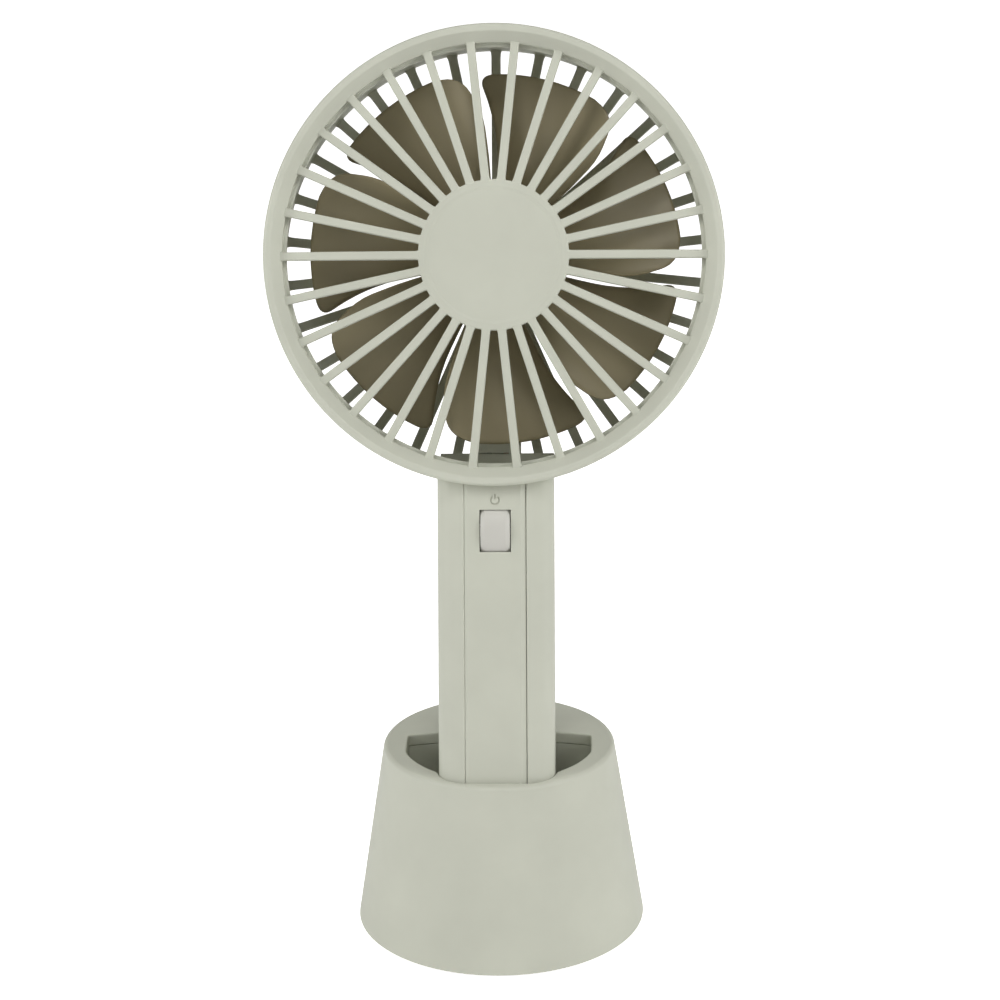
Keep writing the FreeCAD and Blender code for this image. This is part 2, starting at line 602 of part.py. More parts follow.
def board_chips():
    """Charge and motor driver chips, an inductor and small parts on the board's back."""
    y = BOARD_Y + BOARD_T
    parts = [box(-8.2, -5.0, y, y + 1.3, 58.5, 63.0), box(4.9, 8.4, y, y + 1.3, 58.5, 61.5),
             box(4.9, 8.6, y, y + 1.9, 63.0, 66.7), box(-8.4, -6.0, y, y + 0.8, 66.0, 67.4),
             box(-8.4, -6.0, y, y + 0.8, 68.6, 70.0), box(4.6, 6.6, y, y + 0.8, 69.5, 70.9)]
    return Part.makeCompound(parts)


def charge_port():
    """Upright micro-USB receptacle: a thin metal shell with its contact tongue."""
    y0, y1 = BOARD_Y + BOARD_T, HALF - 0.4
    shell = box(-3.75, 3.75, y0, y1, PORT_Z - 1.4, PORT_Z + 1.4)
    long_edges = [e for e in shell.Edges if e.BoundBox.YLength > 4
                  and e.CenterOfMass.z < PORT_Z]
    shell = shell.makeFillet(1.0, long_edges)
    mouth = box(-3.4, 3.4, y0 + 1.5, y1 + 1, PORT_Z - 1.05, PORT_Z + 1.05)
    mouth_edges = [e for e in mouth.Edges if e.BoundBox.YLength > 4
                   and e.CenterOfMass.z < PORT_Z]
    mouth = mouth.makeFillet(0.8, mouth_edges)
    tongue = box(-2.2, 2.2, y0 + 1.4, y1 - 0.6, PORT_Z + 0.0, PORT_Z + 0.6)
    return fused([shell.cut(mouth), tongue])


def led_pipe():
    stem = rod(1.05, V(0, BOARD_Y + BOARD_T + 0.2, LED_Z), V(0, HALF, LED_Z))
    return stem.makeFillet(0.3, [e for e in stem.Edges if abs(e.CenterOfMass.y - HALF) < 0.01])


def wheel_body():
    """Thumb wheel, crowned at both edges, bored for its axle."""
    h, crown = WHEEL_W / 2, 0.95
    y, z = WHEEL_Y, WHEEL_Z

    def pt(x, r):
        return V(x, y - r, z)

    dip = WHEEL_R - crown * 0.8
    edges = [
        line(pt(-h, AXLE_R), pt(-h, dip)),
        Part.Arc(pt(-h, dip), pt(-h + crown * 0.35, WHEEL_R - crown * 0.25),
                 pt(-h + crown, WHEEL_R)).toShape(),
        line(pt(-h + crown, WHEEL_R), pt(h - crown, WHEEL_R)),
        Part.Arc(pt(h - crown, WHEEL_R), pt(h - crown * 0.35, WHEEL_R - crown * 0.25),
                 pt(h, dip)).toShape(),
        line(pt(h, dip), pt(h, AXLE_R)), line(pt(h, AXLE_R), pt(-h, AXLE_R)),
    ]
    return Part.Face(Part.Wire(edges)).revolve(V(0, y, z), X, 360)


def wheel_axle():
    return rod(AXLE_R, V(-5.4, WHEEL_Y, WHEEL_Z), V(5.9, WHEEL_Y, WHEEL_Z))


def wheel_bracket():
    """Two ears on a foot that stands on the board and carries the wheel's axle."""
    left = box(-5.2, -3.7, WHEEL_Y - 3.0, BOARD_Y, WHEEL_Z - 3.2, WHEEL_Z + 3.2)
    right = left.mirror(V(0, 0, 0), X)
    foot = box(-5.2, 5.2, BOARD_Y - 1.0, BOARD_Y, WHEEL_Z - 3.2, WHEEL_Z + 3.2)
    bore = rod(AXLE_R + RUN_GAP, V(-8, WHEEL_Y, WHEEL_Z), V(8, WHEEL_Y, WHEEL_Z))
    return fused([left, right, foot]).cut(bore)


def speed_control():
    """Rotary potentiometer beside the wheel, bored for the axle's end."""
    body = box(5.25, 8.5, WHEEL_Y - 3.8, WHEEL_Y + 4.6, WHEEL_Z - 4.6, WHEEL_Z + 4.6)
    body = body.makeFillet(0.8, [e for e in body.Edges if e.BoundBox.XLength > 3])
    pins = [box(6.4, 7.4, WHEEL_Y + 4.5, BOARD_Y, WHEEL_Z + dz - 0.3, WHEEL_Z + dz + 0.3)
            for dz in (-2.5, 0.0, 2.5)]
    bore = rod(AXLE_R + RUN_GAP, V(4, WHEEL_Y, WHEEL_Z), V(6.0, WHEEL_Y, WHEEL_Z))
    return fused([body] + pins).cut(bore)


# ---------------------------------------------------------------- base
def cone(inset, z0, z1):
    """Frustum parallel to the base's outside, inset along the radius."""
    slope = (BASE_R_TOP - BASE_R_BOTTOM) / BASE_H
    r0 = BASE_R_BOTTOM + slope * z0 - inset
    r1 = BASE_R_BOTTOM + slope * z1 - inset
    return Part.makeCone(r0, r1, z1 - z0, V(0, 0, z0))


SLOT_HALF = 20.6
SLOT_BACK = 5.6            # back edge at the middle
SLOT_BACK_BOW = 2.6        # the back edge's ends lie this much nearer the front
SLOT_FRONT_R = 21.0        # the front edge runs parallel to the rim
SLOT_FLOOR = BASE_H - 16.0
LEG_X = 17.0               # cradle legs stand beside the socket


def slot_prism(grow, z0, z1):
    """Wide pocket on both sides of the handle: bowed back edge, curved front edge."""
    h = SLOT_HALF + grow
    r = SLOT_FRONT_R + grow
    y_end = SLOT_BACK - SLOT_BACK_BOW + grow
    corner_y = -math.sqrt(r * r - h * h) if r > h else -6.0
    corner_y = min(corner_y, -6.0)
    r = math.hypot(h, corner_y)
    left, right = V(-h, corner_y, z0), V(h, corner_y, z0)
    front = Part.Arc(left, V(0, -r, z0), right).toShape()
    back = Part.Arc(V(h, y_end, z0), V(0, SLOT_BACK + grow, z0), V(-h, y_end, z0)).toShape()
    wire = Part.Wire([front, line(right, V(h, y_end, z0)), back, line(V(-h, y_end, z0), left)])
    return Part.Face(wire).extrude(V(0, 0, z1 - z0))


def socket_prism(grow, depth):
    """The leaning, handle-shaped part of the opening; depth extends it below the handle."""
    h = section(grow, -depth).extrude(V(0, 0, INSERTED + depth + 25))
    low = [e for e in h.Edges if e.BoundBox.ZMax < -depth + 0.01]
    h = h.makeFillet(CAP_ROUND + grow * 0.7, low)
    h.Placement = FAN_PLACE
    return h


BOSS_ANGLES = (90, 210, 330)


def boss_spots(z):
    """Centres of the three shell screws at height z."""
    spots = []
    for degrees in BOSS_ANGLES:
        a = math.radians(degrees)
        spots.append(V(BOSS_R * math.cos(a), BOSS_R * math.sin(a), z))
    return spots


def leg_spots(z):
    """Centres of the two cradle legs at height z."""
    return [V(-LEG_X, -1.0, z), V(LEG_X, -1.0, z)]


def base_shell():
    """Conical outer shell with the opening in its top and three screw bosses."""
    outer = cone(0, LIP_Z, BASE_H)
    for height, radius in ((BASE_H, 0.9), (LIP_Z, 0.5)):
        rim = [e for e in outer.Edges
               if abs(e.CenterOfMass.z - height) < 0.01 and e.BoundBox.ZLength < 0.01]
        outer = outer.makeFillet(radius, rim)
    body = outer.cut(cone(2.2, 0.0, BASE_H - 2.6))
    bosses = []
    for k, c in enumerate(boss_spots(WEIGHT_Z[0] + 0.1)):
        boss = rod(2.6, c, c + V(0, 0, 11.5))
        bosses.append(boss.cut(rod(0.9, c - V(0, 0, 1), c + V(0, 0, 9))))
        web = box(BOSS_R, 31.0, -0.7, 0.7, c.z, 14.0)
        web.rotate(V(0, 0, 0), Z, BOSS_ANGLES[k])
        bosses.append(web.common(cone(1.2, 0, BASE_H)).cut(rod(2.0, c, c + V(0, 0, 12))))
    body = fused([body] + bosses)
    return body.cut([slot_prism(0, BASE_H - 6, BASE_H + 5), socket_prism(0.3, 0.4)])


def cradle():
    """Thin-walled insert below the opening: two side pockets and the leaning handle socket."""
    outside = slot_prism(1.6, SLOT_FLOOR - 1.6, BASE_H - 2.75)
    tube = socket_prism(1.9, 2.0)
    body = outside.fuse(tube).common(cone(2.35, 3, BASE_H - 2.75))
    body = body.cut([slot_prism(0, SLOT_FLOOR, BASE_H + 1), socket_prism(0.3, 0.4)])
    legs = []
    for spot in leg_spots(0):
        leg = rod(2.6, spot + V(0, 0, WEIGHT_Z[1] + 0.1), spot + V(0, 0, SLOT_FLOOR - 1.0))
        legs.append(leg.cut(rod(0.9, spot + V(0, 0, 8), spot + V(0, 0, 18))))
    return fused([body.removeSplitter()] + legs)


def base_weight():
    """Steel ballast disc, notched round the shell's bosses and bored for the cradle's screws."""
    disc = rod(26.6, V(0, 0, WEIGHT_Z[0]), V(0, 0, WEIGHT_Z[1]))
    disc = disc.makeFillet(0.5, [e for e in disc.Edges if e.BoundBox.ZLength < 0.01])
    holes = [rod(3.3, c, c + V(0, 0, 12)) for c in boss_spots(2)]
    holes += [rod(1.3, c, c + V(0, 0, 12)) for c in leg_spots(2)]
    return disc.cut(holes)


def base_plate():
    """Bottom plate with sunk holes for all five screws."""
    plate = rod(29.7, V(0, 0, PAD_T), V(0, 0, PLATE_TOP))
    plate = plate.makeFillet(0.3, [e for e in plate.Edges if e.BoundBox.ZLength < 0.01])
    holes = []
    for c in boss_spots(0) + leg_spots(0):
        holes += [rod(1.2, c, c + V(0, 0, 5)), rod(2.2, c, c + V(0, 0, SCREW_SEAT))]
    return plate.cut(holes)


def rubber_pad():
    """Non-slip disc glued under the plate; it covers the screws."""
    pad = rod(29.8, V(0, 0, 0), V(0, 0, PAD_T))
    return pad.makeFillet(0.35, [e for e in pad.Edges if e.BoundBox.ZMax < 0.01])


def shell_screws():
    return Part.makeCompound([screw(0.9, 7.0, 1.9, 0.9, c, -Z)
                              for c in boss_spots(SCREW_SEAT + 7.0)])


def cradle_screws():
    return Part.makeCompound([screw(0.9, 13.0, 1.9, 0.9, c, -Z)
                              for c in leg_spots(SCREW_SEAT + 13.0)])


# ---------------------------------------------------------------- nodes
FAN_NODES = {
    "front_grille": front_grille,
    "head_ring": head_ring,
    "rear_grille": rear_grille,
    "rear_cap": rear_cap,
    "impeller": impeller,
    "motor_shaft": lambda: head_rod(SHAFT_R, -9.3, MOTOR_Y[1] + 2.0),
    "motor_can": motor_can,
    "motor_end_bell": motor_end_bell,
    "motor_front_bush": lambda: bush(MOTOR_Y[0] - 1.1, MOTOR_Y[0] + 1.0),
    "motor_rear_bush": lambda: bush(MOTOR_Y[1] + 0.2, MOTOR_Y[1] + 2.2),
    "motor_magnets": motor_magnets,
    "armature": armature,
    "armature_coils": armature_coils,
    "commutator": commutator,
    "motor_brushes": motor_brushes,
    "motor_terminals": motor_terminals,
    "motor_lead_red": lambda: motor_lead(1),
    "motor_lead_black": lambda: motor_lead(-1),
    "motor_screws": lambda: Part.makeCompound(
        [screw(0.8, 5.4, 1.8, 1.1, HEAD + V(x, 10.0, 0), Y) for x in (-7.5, 7.5)]),
    "handle_shell": handle_shell,
    "front_panel": front_panel,
    "bottom_cap": bottom_cap,
    "battery_cell": battery_cell,
    "battery_tabs": battery_tabs,
    "control_board": control_board,
    "board_chips": board_chips,
    "charge_port": charge_port,
    "charge_light": led_pipe,
    "speed_wheel": wheel_body,
    "wheel_axle": wheel_axle,
    "wheel_bracket": wheel_bracket,
    "speed_control": speed_control,
    "neck_screws": lambda: Part.makeCompound(
        [screw(0.8, 5.4, 1.7, 0.8, V(x, HALF - 0.9 - 5.4, NECK_SCREW_Z), Y)
         for x in (-NECK_SCREW_X, NECK_SCREW_X)]),
}

BASE_NODES = {
    "base_shell": base_shell,
    "cradle": cradle,
    "base_weight": base_weight,
    "base_plate": base_plate,
    "rubber_pad": rubber_pad,
    "shell_screws": shell_screws,
    "cradle_screws": cradle_screws,
}

for node, make in FAN_NODES.items():
    save(node, make())
for node, make in BASE_NODES.items():
    save(node, make(), in_fan=False)
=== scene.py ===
"""Looks of a handheld electric fan that leans back in its desk base.

The fan's pieces are drawn in millimetres in the fan's own axes: x to the right, y to the back,
z up the handle, origin at the centre of the head. FAN takes them to the row frame in metres.
The base's pieces are drawn in millimetres in the row frame, and BASE takes them there.
"""

import json
import math

import bmesh
import bpy
from mathutils import Matrix, Quaternion, Vector


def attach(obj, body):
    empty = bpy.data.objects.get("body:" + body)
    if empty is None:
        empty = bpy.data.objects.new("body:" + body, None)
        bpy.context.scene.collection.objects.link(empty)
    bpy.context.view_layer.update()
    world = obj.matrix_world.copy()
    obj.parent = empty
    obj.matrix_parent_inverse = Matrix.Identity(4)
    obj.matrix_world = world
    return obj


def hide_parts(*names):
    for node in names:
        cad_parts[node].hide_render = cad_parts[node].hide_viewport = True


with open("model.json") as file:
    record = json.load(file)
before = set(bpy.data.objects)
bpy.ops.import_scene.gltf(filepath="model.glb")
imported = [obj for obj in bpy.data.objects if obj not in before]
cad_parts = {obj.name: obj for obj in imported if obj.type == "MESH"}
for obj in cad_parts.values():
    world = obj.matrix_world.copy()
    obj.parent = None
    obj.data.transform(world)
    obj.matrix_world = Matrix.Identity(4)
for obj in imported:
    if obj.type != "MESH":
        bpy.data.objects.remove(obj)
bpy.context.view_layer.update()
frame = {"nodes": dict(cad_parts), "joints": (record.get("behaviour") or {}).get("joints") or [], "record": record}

# ---------------------------------------------------------------- axes, from the joints
MM = 0.001
joints = {j["name"]: j for j in frame["joints"]}
UP = Vector(joints["fan_lift"]["axis"]).normalized()
FRONT = Vector(joints["impeller_spin"]["axis"]).normalized()
HEAD = Vector(joints["impeller_spin"]["pos_m"])
LEAN = math.atan2(UP.y, UP.z)
RIGHT = UP.cross(FRONT)


def frame_matrix(origin, x, y, z):
    """Matrix that takes millimetres in the given axes to the row frame in metres."""
    turn = Matrix((x, y, z)).transposed().to_4x4()
    return Matrix.Translation(origin) @ turn @ Matrix.Scale(MM, 4)


if RIGHT.x < 0:
    RIGHT = -RIGHT
FAN = frame_matrix(HEAD, RIGHT, -FRONT, UP)
BASE = Matrix.Scale(MM, 4)


def span(node, space):
    """Lowest and highest corner of a CAD node in one of the two sets of axes, in mm."""
    back = space.inverted()
    points = [back @ v.co for v in frame["nodes"][node].data.vertices]
    low = Vector([min(p[i] for p in points) for i in range(3)])
    high = Vector([max(p[i] for p in points) for i in range(3)])
    return low, high


# ---------------------------------------------------------------- sizes, from the CAD nodes
grille_low, grille_high = span("front_grille", FAN)
ring_high = span("head_ring", FAN)[1]
shell_low, shell_high = span("handle_shell", FAN)
cap_low = span("bottom_cap", FAN)[0]
wheel_low, wheel_high = span("speed_wheel", FAN)
base_low, base_high = span("base_shell", BASE)
pad_high = span("rubber_pad", BASE)[1]

HEAD_R = grille_high.x
BEZEL_FRONT = grille_low.y
WALL_R = ring_high.x
HEAD_STEPS = 288                  # sides of the head's large turned pieces
LIP_R = 46.0                      # the bezel's opening
CHAMFER_BACK = -12.9
BEZEL_BACK = -9.0
FLANGE_R = 45.15                  # flange behind the bezel's chamfer
FLANGE_FRONT = -11.5
FLANGE_BACK = -10.4
SKIRT_R = 47.9                    # skirt that plugs into the ring's wall
SKIRT_IN_R = 46.8
SKIRT_BACK = -6.4
WALL_FRONT = -8.8
WALL_IN_R = 48.0
REAR_IN_R = 47.6
REAR_SEAM = 9.4                   # where ring wall and rear grille meet
REAR_BACK = 13.4
RIM_CORNER = 1.5                  # the rear rim's outside rounding
REAR_SPOKE_FRONT = 11.5
DISC_R = 16.35
DISC_FRONT = -14.7
DISC_DISH = -14.55                # the shallow dish inside the disc's border
DISC_BACK = -12.4
SPOKE_BACK = -12.1
SPOKES = 30
ARM_PLACE = 22                    # the rear spoke place that the cable arm takes
SPOKE_W = 1.85
BLADES = 7
BLADE_TIP_R = 41.0
BLADE_START = 42.0
HUB_R = 14.2
CUP_R = 14.4                      # motor cup behind the impeller
CUP_IN_R = 12.12
CUP_SEAT_R = 12.9
CUP_FRONT = 4.2
CUP_BACK = 18.0
CAP_R = 12.8
LEAD_HALF = 3.2                   # passage for the motor leads
LEAD_FRONT = 7.6
ARM_HALF = 5.25
ARM_BACK = 14.6
HALF = shell_high.x
WALL = 1.7
SEAM_X = 6.75                     # the front panel's edges
FACET = 1.9                       # the handle's front facets fall back this far
SHELL_BOTTOM = shell_low.z
HANDLE_BOTTOM = cap_low.z
PORT_UP, LED_UP, SCREW_UP = 61.5, 68.5, 75.5      # heights above the handle's bottom
SCREW_X = 6.2
WHEEL_Y = (wheel_low.y + wheel_high.y) / 2
WHEEL_Z = (wheel_low.z + wheel_high.z) / 2
WHEEL_R = (wheel_high.y - wheel_low.y) / 2
BASE_H = base_high.z
BASE_R_BOTTOM = 32.6
BASE_R_TOP = 25.8
LIP_Z = base_low.z
AXIS_Y = -9.3                     # where the handle axis crosses the base's top face


# ---------------------------------------------------------------- outlines
def rounded(corners, steps=6):
    """Closed outline through (x, y, radius) corners, each one replaced by an arc."""
    out = []
    count = len(corners)
    for i, (x, y, radius) in enumerate(corners):
        p = Vector((x, y))
        a = Vector(corners[i - 1][:2]) - p
        b = Vector(corners[(i + 1) % count][:2]) - p
        if radius <= 0:
            out.append(p)
            continue
        half = a.angle(b) / 2
        reach = min(radius / math.tan(half), 0.499 * a.length, 0.499 * b.length)
        radius = reach * math.tan(half)
        a.normalize()
        b.normalize()
        centre = p + (a + b).normalized() * (radius / math.sin(half))
        start, end = p + a * reach - centre, p + b * reach - centre
        turn = start.angle_signed(end)
        for k in range(steps + 1):
            c, s = math.cos(-turn * k / steps), math.sin(-turn * k / steps)
            out.append(centre + Vector((start.x * c - start.y * s, start.x * s + start.y * c)))
    return out


def arc_points(radius, start, end, step, centre=(0, 0), squash=1.0):
    """Points of an arc from start to end degrees, about step mm apart."""
    count = max(2, int(abs(math.radians(end - start)) * radius / step))
    points = []
    for k in range(count + 1):
        a = math.radians(start + (end - start) * k / count)
        points.append(Vector((centre[0] + radius * math.cos(a),
                              centre[1] + radius * math.sin(a) * squash)))
    return points


def offset(loop, distance):
    """A closed outline moved outwards (it runs counter-clockwise) by a distance."""
    out = []
    for i, p in enumerate(loop):
        along = (loop[(i + 1) % len(loop)] - loop[i - 1]).normalized()
        out.append(p + Vector((along.y, -along.x)) * distance)
    return out


# ---------------------------------------------------------------- meshes
def shape(name, points, faces):
    """Mesh object from points and faces, linked to the scene."""
    mesh = bpy.data.meshes.new(name)
    mesh.from_pydata([tuple(p) for p in points], [], faces)
    mesh.validate()
    obj = bpy.data.objects.new(name, mesh)
    bpy.context.scene.collection.objects.link(obj)
    return obj


def face_out(obj):
    """Turns a closed mesh's faces outwards."""
    bm = bmesh.new()
    bm.from_mesh(obj.data)
    bmesh.ops.recalc_face_normals(bm, faces=bm.faces)
    bm.to_mesh(obj.data)
    bm.free()
    return obj


def skin(name, loops, ring=False):
    """Quads between successive closed loops of 3-D points; the ends are capped or joined."""
    count = len(loops[0])
    points = [p for loop in loops for p in loop]
    faces = []
    pairs = list(zip(range(len(loops)), range(1, len(loops))))
    if ring:
        pairs.append((len(loops) - 1, 0))
    for a, b in pairs:
        for i in range(count):
            j = (i + 1) % count
            faces.append((a * count + i, a * count + j, b * count + j, b * count + i))
    if not ring:
        faces.append(tuple(range(count))[::-1])
        faces.append(tuple(range((len(loops) - 1) * count, len(loops) * count)))
    return face_out(shape(name, points, faces))


def lathe(name, profile, steps=256, axis="y", centre=(0.0, 0.0, 0.0)):
    """Turned solid from a (radius, height) profile, closed or running from axis to axis."""
    on_axis = [i for i, p in enumerate(profile) if abs(p[0]) < 1e-6]
    points, faces, rows = [], [], []
    for radius, height in profile:
        rows.append(len(points))
        turns = 1 if abs(radius) < 1e-6 else steps
        for k in range(turns):
            a = 2 * math.pi * k / steps
            u, v = radius * math.cos(a), radius * math.sin(a)
            p = {"y": (u, height, v), "z": (u, v, height), "x": (height, u, v)}[axis]
            points.append(tuple(p[i] + centre[i] for i in range(3)))
    pairs = list(zip(range(len(profile)), range(1, len(profile))))
    if not on_axis:
        pairs.append((len(profile) - 1, 0))
    for a, b in pairs:
        ra, rb = rows[a], rows[b]
        for k in range(steps):
            n = (k + 1) % steps
            if a in on_axis and b in on_axis:
                continue
            if a in on_axis:
                faces.append((ra, rb + k, rb + n))
            elif b in on_axis:
                faces.append((ra + k, rb, ra + n))
            else:
                faces.append((ra + k, rb + k, rb + n, ra + n))
    return face_out(shape(name, points, faces))


def block(name, low, high, edge, steps=4):
    """Box with all its upright (z) edges rounded."""
    outline = rounded([(low[0], low[1], edge), (high[0], low[1], edge),
                       (high[0], high[1], edge), (low[0], high[1], edge)], steps)
    loops = [[(p.x, p.y, z) for p in outline] for z in (low[2], high[2])]
    return skin(name, loops)


def merged(name, objects):
    """One object from several that don't need joining where they meet."""
    points, faces = [], []
    for o in objects:
        base = len(points)
        points += [tuple(v.co) for v in o.data.vertices]
        faces += [tuple(base + i for i in p.vertices) for p in o.data.polygons]
        bpy.data.objects.remove(o)
    return shape(name, points, faces)


def copies_around(make, places):
    """Copies of one piece turned about the head's axis, places in degrees."""
    first = make()
    points = [v.co.copy() for v in first.data.vertices]
    faces = [tuple(p.vertices) for p in first.data.polygons]
    all_points, all_faces = [], []
    for degrees in places:
        turn = Matrix.Rotation(-math.radians(degrees), 3, "Y")
        base = len(all_points)
        all_points += [tuple(turn @ p) for p in points]
        all_faces += [tuple(base + i for i in f) for f in faces]
    name = first.name
    bpy.data.objects.remove(first)
    return shape(name + "_all", all_points, all_faces)


def applied(obj):
    """Replaces an object's mesh by what its modifiers make of it."""
    graph = bpy.context.evaluated_depsgraph_get()
    mesh = bpy.data.meshes.new_from_object(obj.evaluated_get(graph))
    obj.modifiers.clear()
    obj.data = mesh
    return obj


def combine(target, tool, operation):
    """Boolean of two closed meshes; the tool is used up."""
    modifier = target.modifiers.new("combine", "BOOLEAN")
    modifier.operation = operation
    modifier.object = tool
    modifier.solver = "MANIFOLD" if operation != "INTERSECT" else "EXACT"
    applied(target)
    bpy.data.objects.remove(tool)
    return target


def softened(obj, width, steps=2, angle=35):
    """Small rounding on every edge sharper than an angle."""
    modifier = obj.modifiers.new("edges", "BEVEL")
    modifier.width = width
    modifier.segments = steps
    modifier.limit_method = "ANGLE"
    modifier.angle_limit = math.radians(angle)
    modifier.use_clamp_overlap = True
    modifier.miter_outer = "MITER_ARC"
    return applied(obj)


def piece(obj, name, body, nodes, space, slot="sage_plastic", angle=30):
    """Takes a finished mesh to the row frame and hands it over as a piece of the object."""
    obj.name = name
    obj.data.name = name
    obj.data.transform(space)
    obj.data.polygons.foreach_set("use_smooth", [True] * len(obj.data.polygons))
    obj.data.set_sharp_from_angle(angle=math.radians(angle))
    weighted = obj.modifiers.new("normals", "WEIGHTED_NORMAL")
    weighted.keep_sharp = True
    obj.data.materials.clear()
    obj.data.materials.append(MATERIALS[slot])
    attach(obj, body)
    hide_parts(*nodes)
    return obj


# ---------------------------------------------------------------- materials
def shader(name):
    """New material, its node tree and its surface node."""
    material = bpy.data.materials.new(name)
    material.use_nodes = True
    nodes = material.node_tree.nodes
    return material, material.node_tree, nodes["Principled BSDF"]


def noise(tree, scale, detail=3.0, roughness=0.5):
    """Noise in the row frame; scale is features per metre."""
    where = tree.nodes.new("ShaderNodeTexCoord")
    texture = tree.nodes.new("ShaderNodeTexNoise")
    texture.inputs["Scale"].default_value = scale
    texture.inputs["Detail"].default_value = detail
    texture.inputs["Roughness"].default_value = roughness
    tree.links.new(where.outputs["Object"], texture.inputs["Vector"])
    return texture.outputs["Fac"]


def ramp(tree, source, low, high, first, second):
    """Runs from one colour or grey to another as source goes from low to high."""
    node = tree.nodes.new("ShaderNodeValToRGB")
    node.color_ramp.elements[0].position = low
    node.color_ramp.elements[1].position = high
    node.color_ramp.elements[0].color = first
    node.color_ramp.elements[1].color = second
    tree.links.new(source, node.inputs["Fac"])
    return node.outputs["Color"]


def bump(tree, target, source, height, strength=1.0):
    """Relief of a given height, in metres, from a grey source."""
    node = tree.nodes.new("ShaderNodeBump")
    node.inputs["Distance"].default_value = height
    node.inputs["Strength"].default_value = strength
    tree.links.new(source, node.inputs["Height"])
    tree.links.new(node.outputs["Normal"], target.inputs["Normal"])


def shade(color, factor):
    """Colour made lighter or darker, with full alpha."""
    return tuple(min(1.0, c * factor) for c in color[:3]) + (1.0,)


def grey(value):
    return (value, value, value, 1.0)


def moulded(name, color, roughness=0.5, grain=5200.0, height=0.00002, mottle=0.03, specular=0.4):
    """Moulded plastic: spark-eroded grain, a faint mottle and slightly uneven gloss."""
    material, tree, out = shader(name)
    cloudy = noise(tree, 55.0, 4.0, 0.55)
    tint = ramp(tree, cloudy, 0.35, 0.68, shade(color, 1 - mottle), shade(color, 1 + mottle))
    tree.links.new(tint, out.inputs["Base Color"])
    gloss = ramp(tree, noise(tree, 160.0, 3.0), 0.3, 0.7, grey(roughness - 0.04),
                 grey(roughness + 0.05))
    tree.links.new(gloss, out.inputs["Roughness"])
    bump(tree, out, noise(tree, grain, 2.0, 0.6), height, 0.6)
    out.inputs["Specular IOR Level"].default_value = specular
    return material


def metal(name, color, roughness, grain=900.0, height=0.000004):
    """Bare metal with fine streaks in tone and gloss."""
    material, tree, out = shader(name)
    streaks = noise(tree, grain, 4.0, 0.7)
    tint = ramp(tree, streaks, 0.3, 0.7, shade(color, 0.9), shade(color, 1.06))
    tree.links.new(tint, out.inputs["Base Color"])
    gloss = ramp(tree, streaks, 0.3, 0.7, grey(roughness - 0.06), grey(roughness + 0.08))
    tree.links.new(gloss, out.inputs["Roughness"])
    bump(tree, out, streaks, height, 0.5)
    out.inputs["Metallic"].default_value = 1.0
    return material


SAGE = (0.530, 0.540, 0.456)
MATERIALS = {
    "sage_plastic": moulded("sage_plastic", SAGE, 0.48),
    "button_plastic": moulded("button_plastic", (0.545, 0.535, 0.49), 0.42, mottle=0.02),
    # Painted shade: the blades' colour is darkened to dark olive to paint the shade that falls on them behind the
    # front grille.
    "blade_plastic": moulded("blade_plastic", (0.275, 0.236, 0.142), 0.4, 7000.0, 0.00001),
    # Painted shade: near black, so the pieces inside the base's opening show the deep shade of the pocket.
    "inner_plastic": moulded("inner_plastic", (0.035, 0.035, 0.034), 0.5),
    "rubber": moulded("rubber", (0.022, 0.022, 0.022), 0.75, 3000.0, 0.00004, 0.1, 0.3),
    "steel": metal("steel", (0.55, 0.55, 0.56), 0.3),
    "screw_steel": metal("screw_steel", (0.45, 0.45, 0.46), 0.25),
    "magnet": metal("magnet", (0.10, 0.10, 0.11), 0.55),
    "copper": metal("copper", (0.75, 0.33, 0.18), 0.3, 3000.0),
    "brass": metal("brass", (0.78, 0.58, 0.27), 0.28),
    "battery_wrap": moulded("battery_wrap", (0.015, 0.09, 0.24), 0.25, 400.0, 0.00001),
    "board_green": moulded("board_green", (0.01, 0.09, 0.035), 0.35, 2500.0, 0.000008, 0.12),
    "chip_black": moulded("chip_black", (0.012, 0.012, 0.013), 0.55),
    "wire_red": moulded("wire_red", (0.42, 0.012, 0.01), 0.4, 900.0, 0.00001),
    "wire_black": moulded("wire_black", (0.01, 0.01, 0.01), 0.4, 900.0, 0.00001),
    "clear_plastic": moulded("clear_plastic", (0.75, 0.76, 0.75), 0.12, 800.0, 0.000004),
}


def dress_cad_nodes():
    """Gives each carried-over CAD node its slot's material."""
    slots = {s["node"]: s["material_slot"] for s in frame["record"]["subparts"]}
    for node, obj in frame["nodes"].items():
        obj.data.materials.clear()
        obj.data.materials.append(MATERIALS[slots[node]])


# ---------------------------------------------------------------- head
def front_spoke():
    """One spoke, from inside the hub disc to inside the bezel's chamfer."""
    inner, outer = DISC_R - 1.2, LIP_R + 0.6
    length = outer - inner
    places = [0.0, 0.5, 0.9, 1.2, 1.5, 1.9] + [length * k / 6 for k in range(1, 6)]
    places += [length - s for s in (1.5, 1.1, 0.9, 0.7, 0.4, 0.0)]
    loops = []
    for s in places:
        radius = inner + s
        from_disc = max(0.0, 1 - max(0.0, radius - DISC_R) / 0.5)
        from_lip = max(0.0, 1 - max(0.0, LIP_R - radius) / 0.4)
        width = SPOKE_W + 0.3 * max(from_disc, from_lip) ** 2
        front = DISC_FRONT + 0.04 + 1.36 * (s / length) ** 1.6
        outline = rounded([(-width / 2, SPOKE_BACK, 0.1), (-width / 2, front, 0.32),
                           (width / 2, front, 0.32), (width / 2, SPOKE_BACK, 0.1)], 4)
        loops.append([(radius, p.y, p.x) for p in outline])
    return skin("spoke", loops)


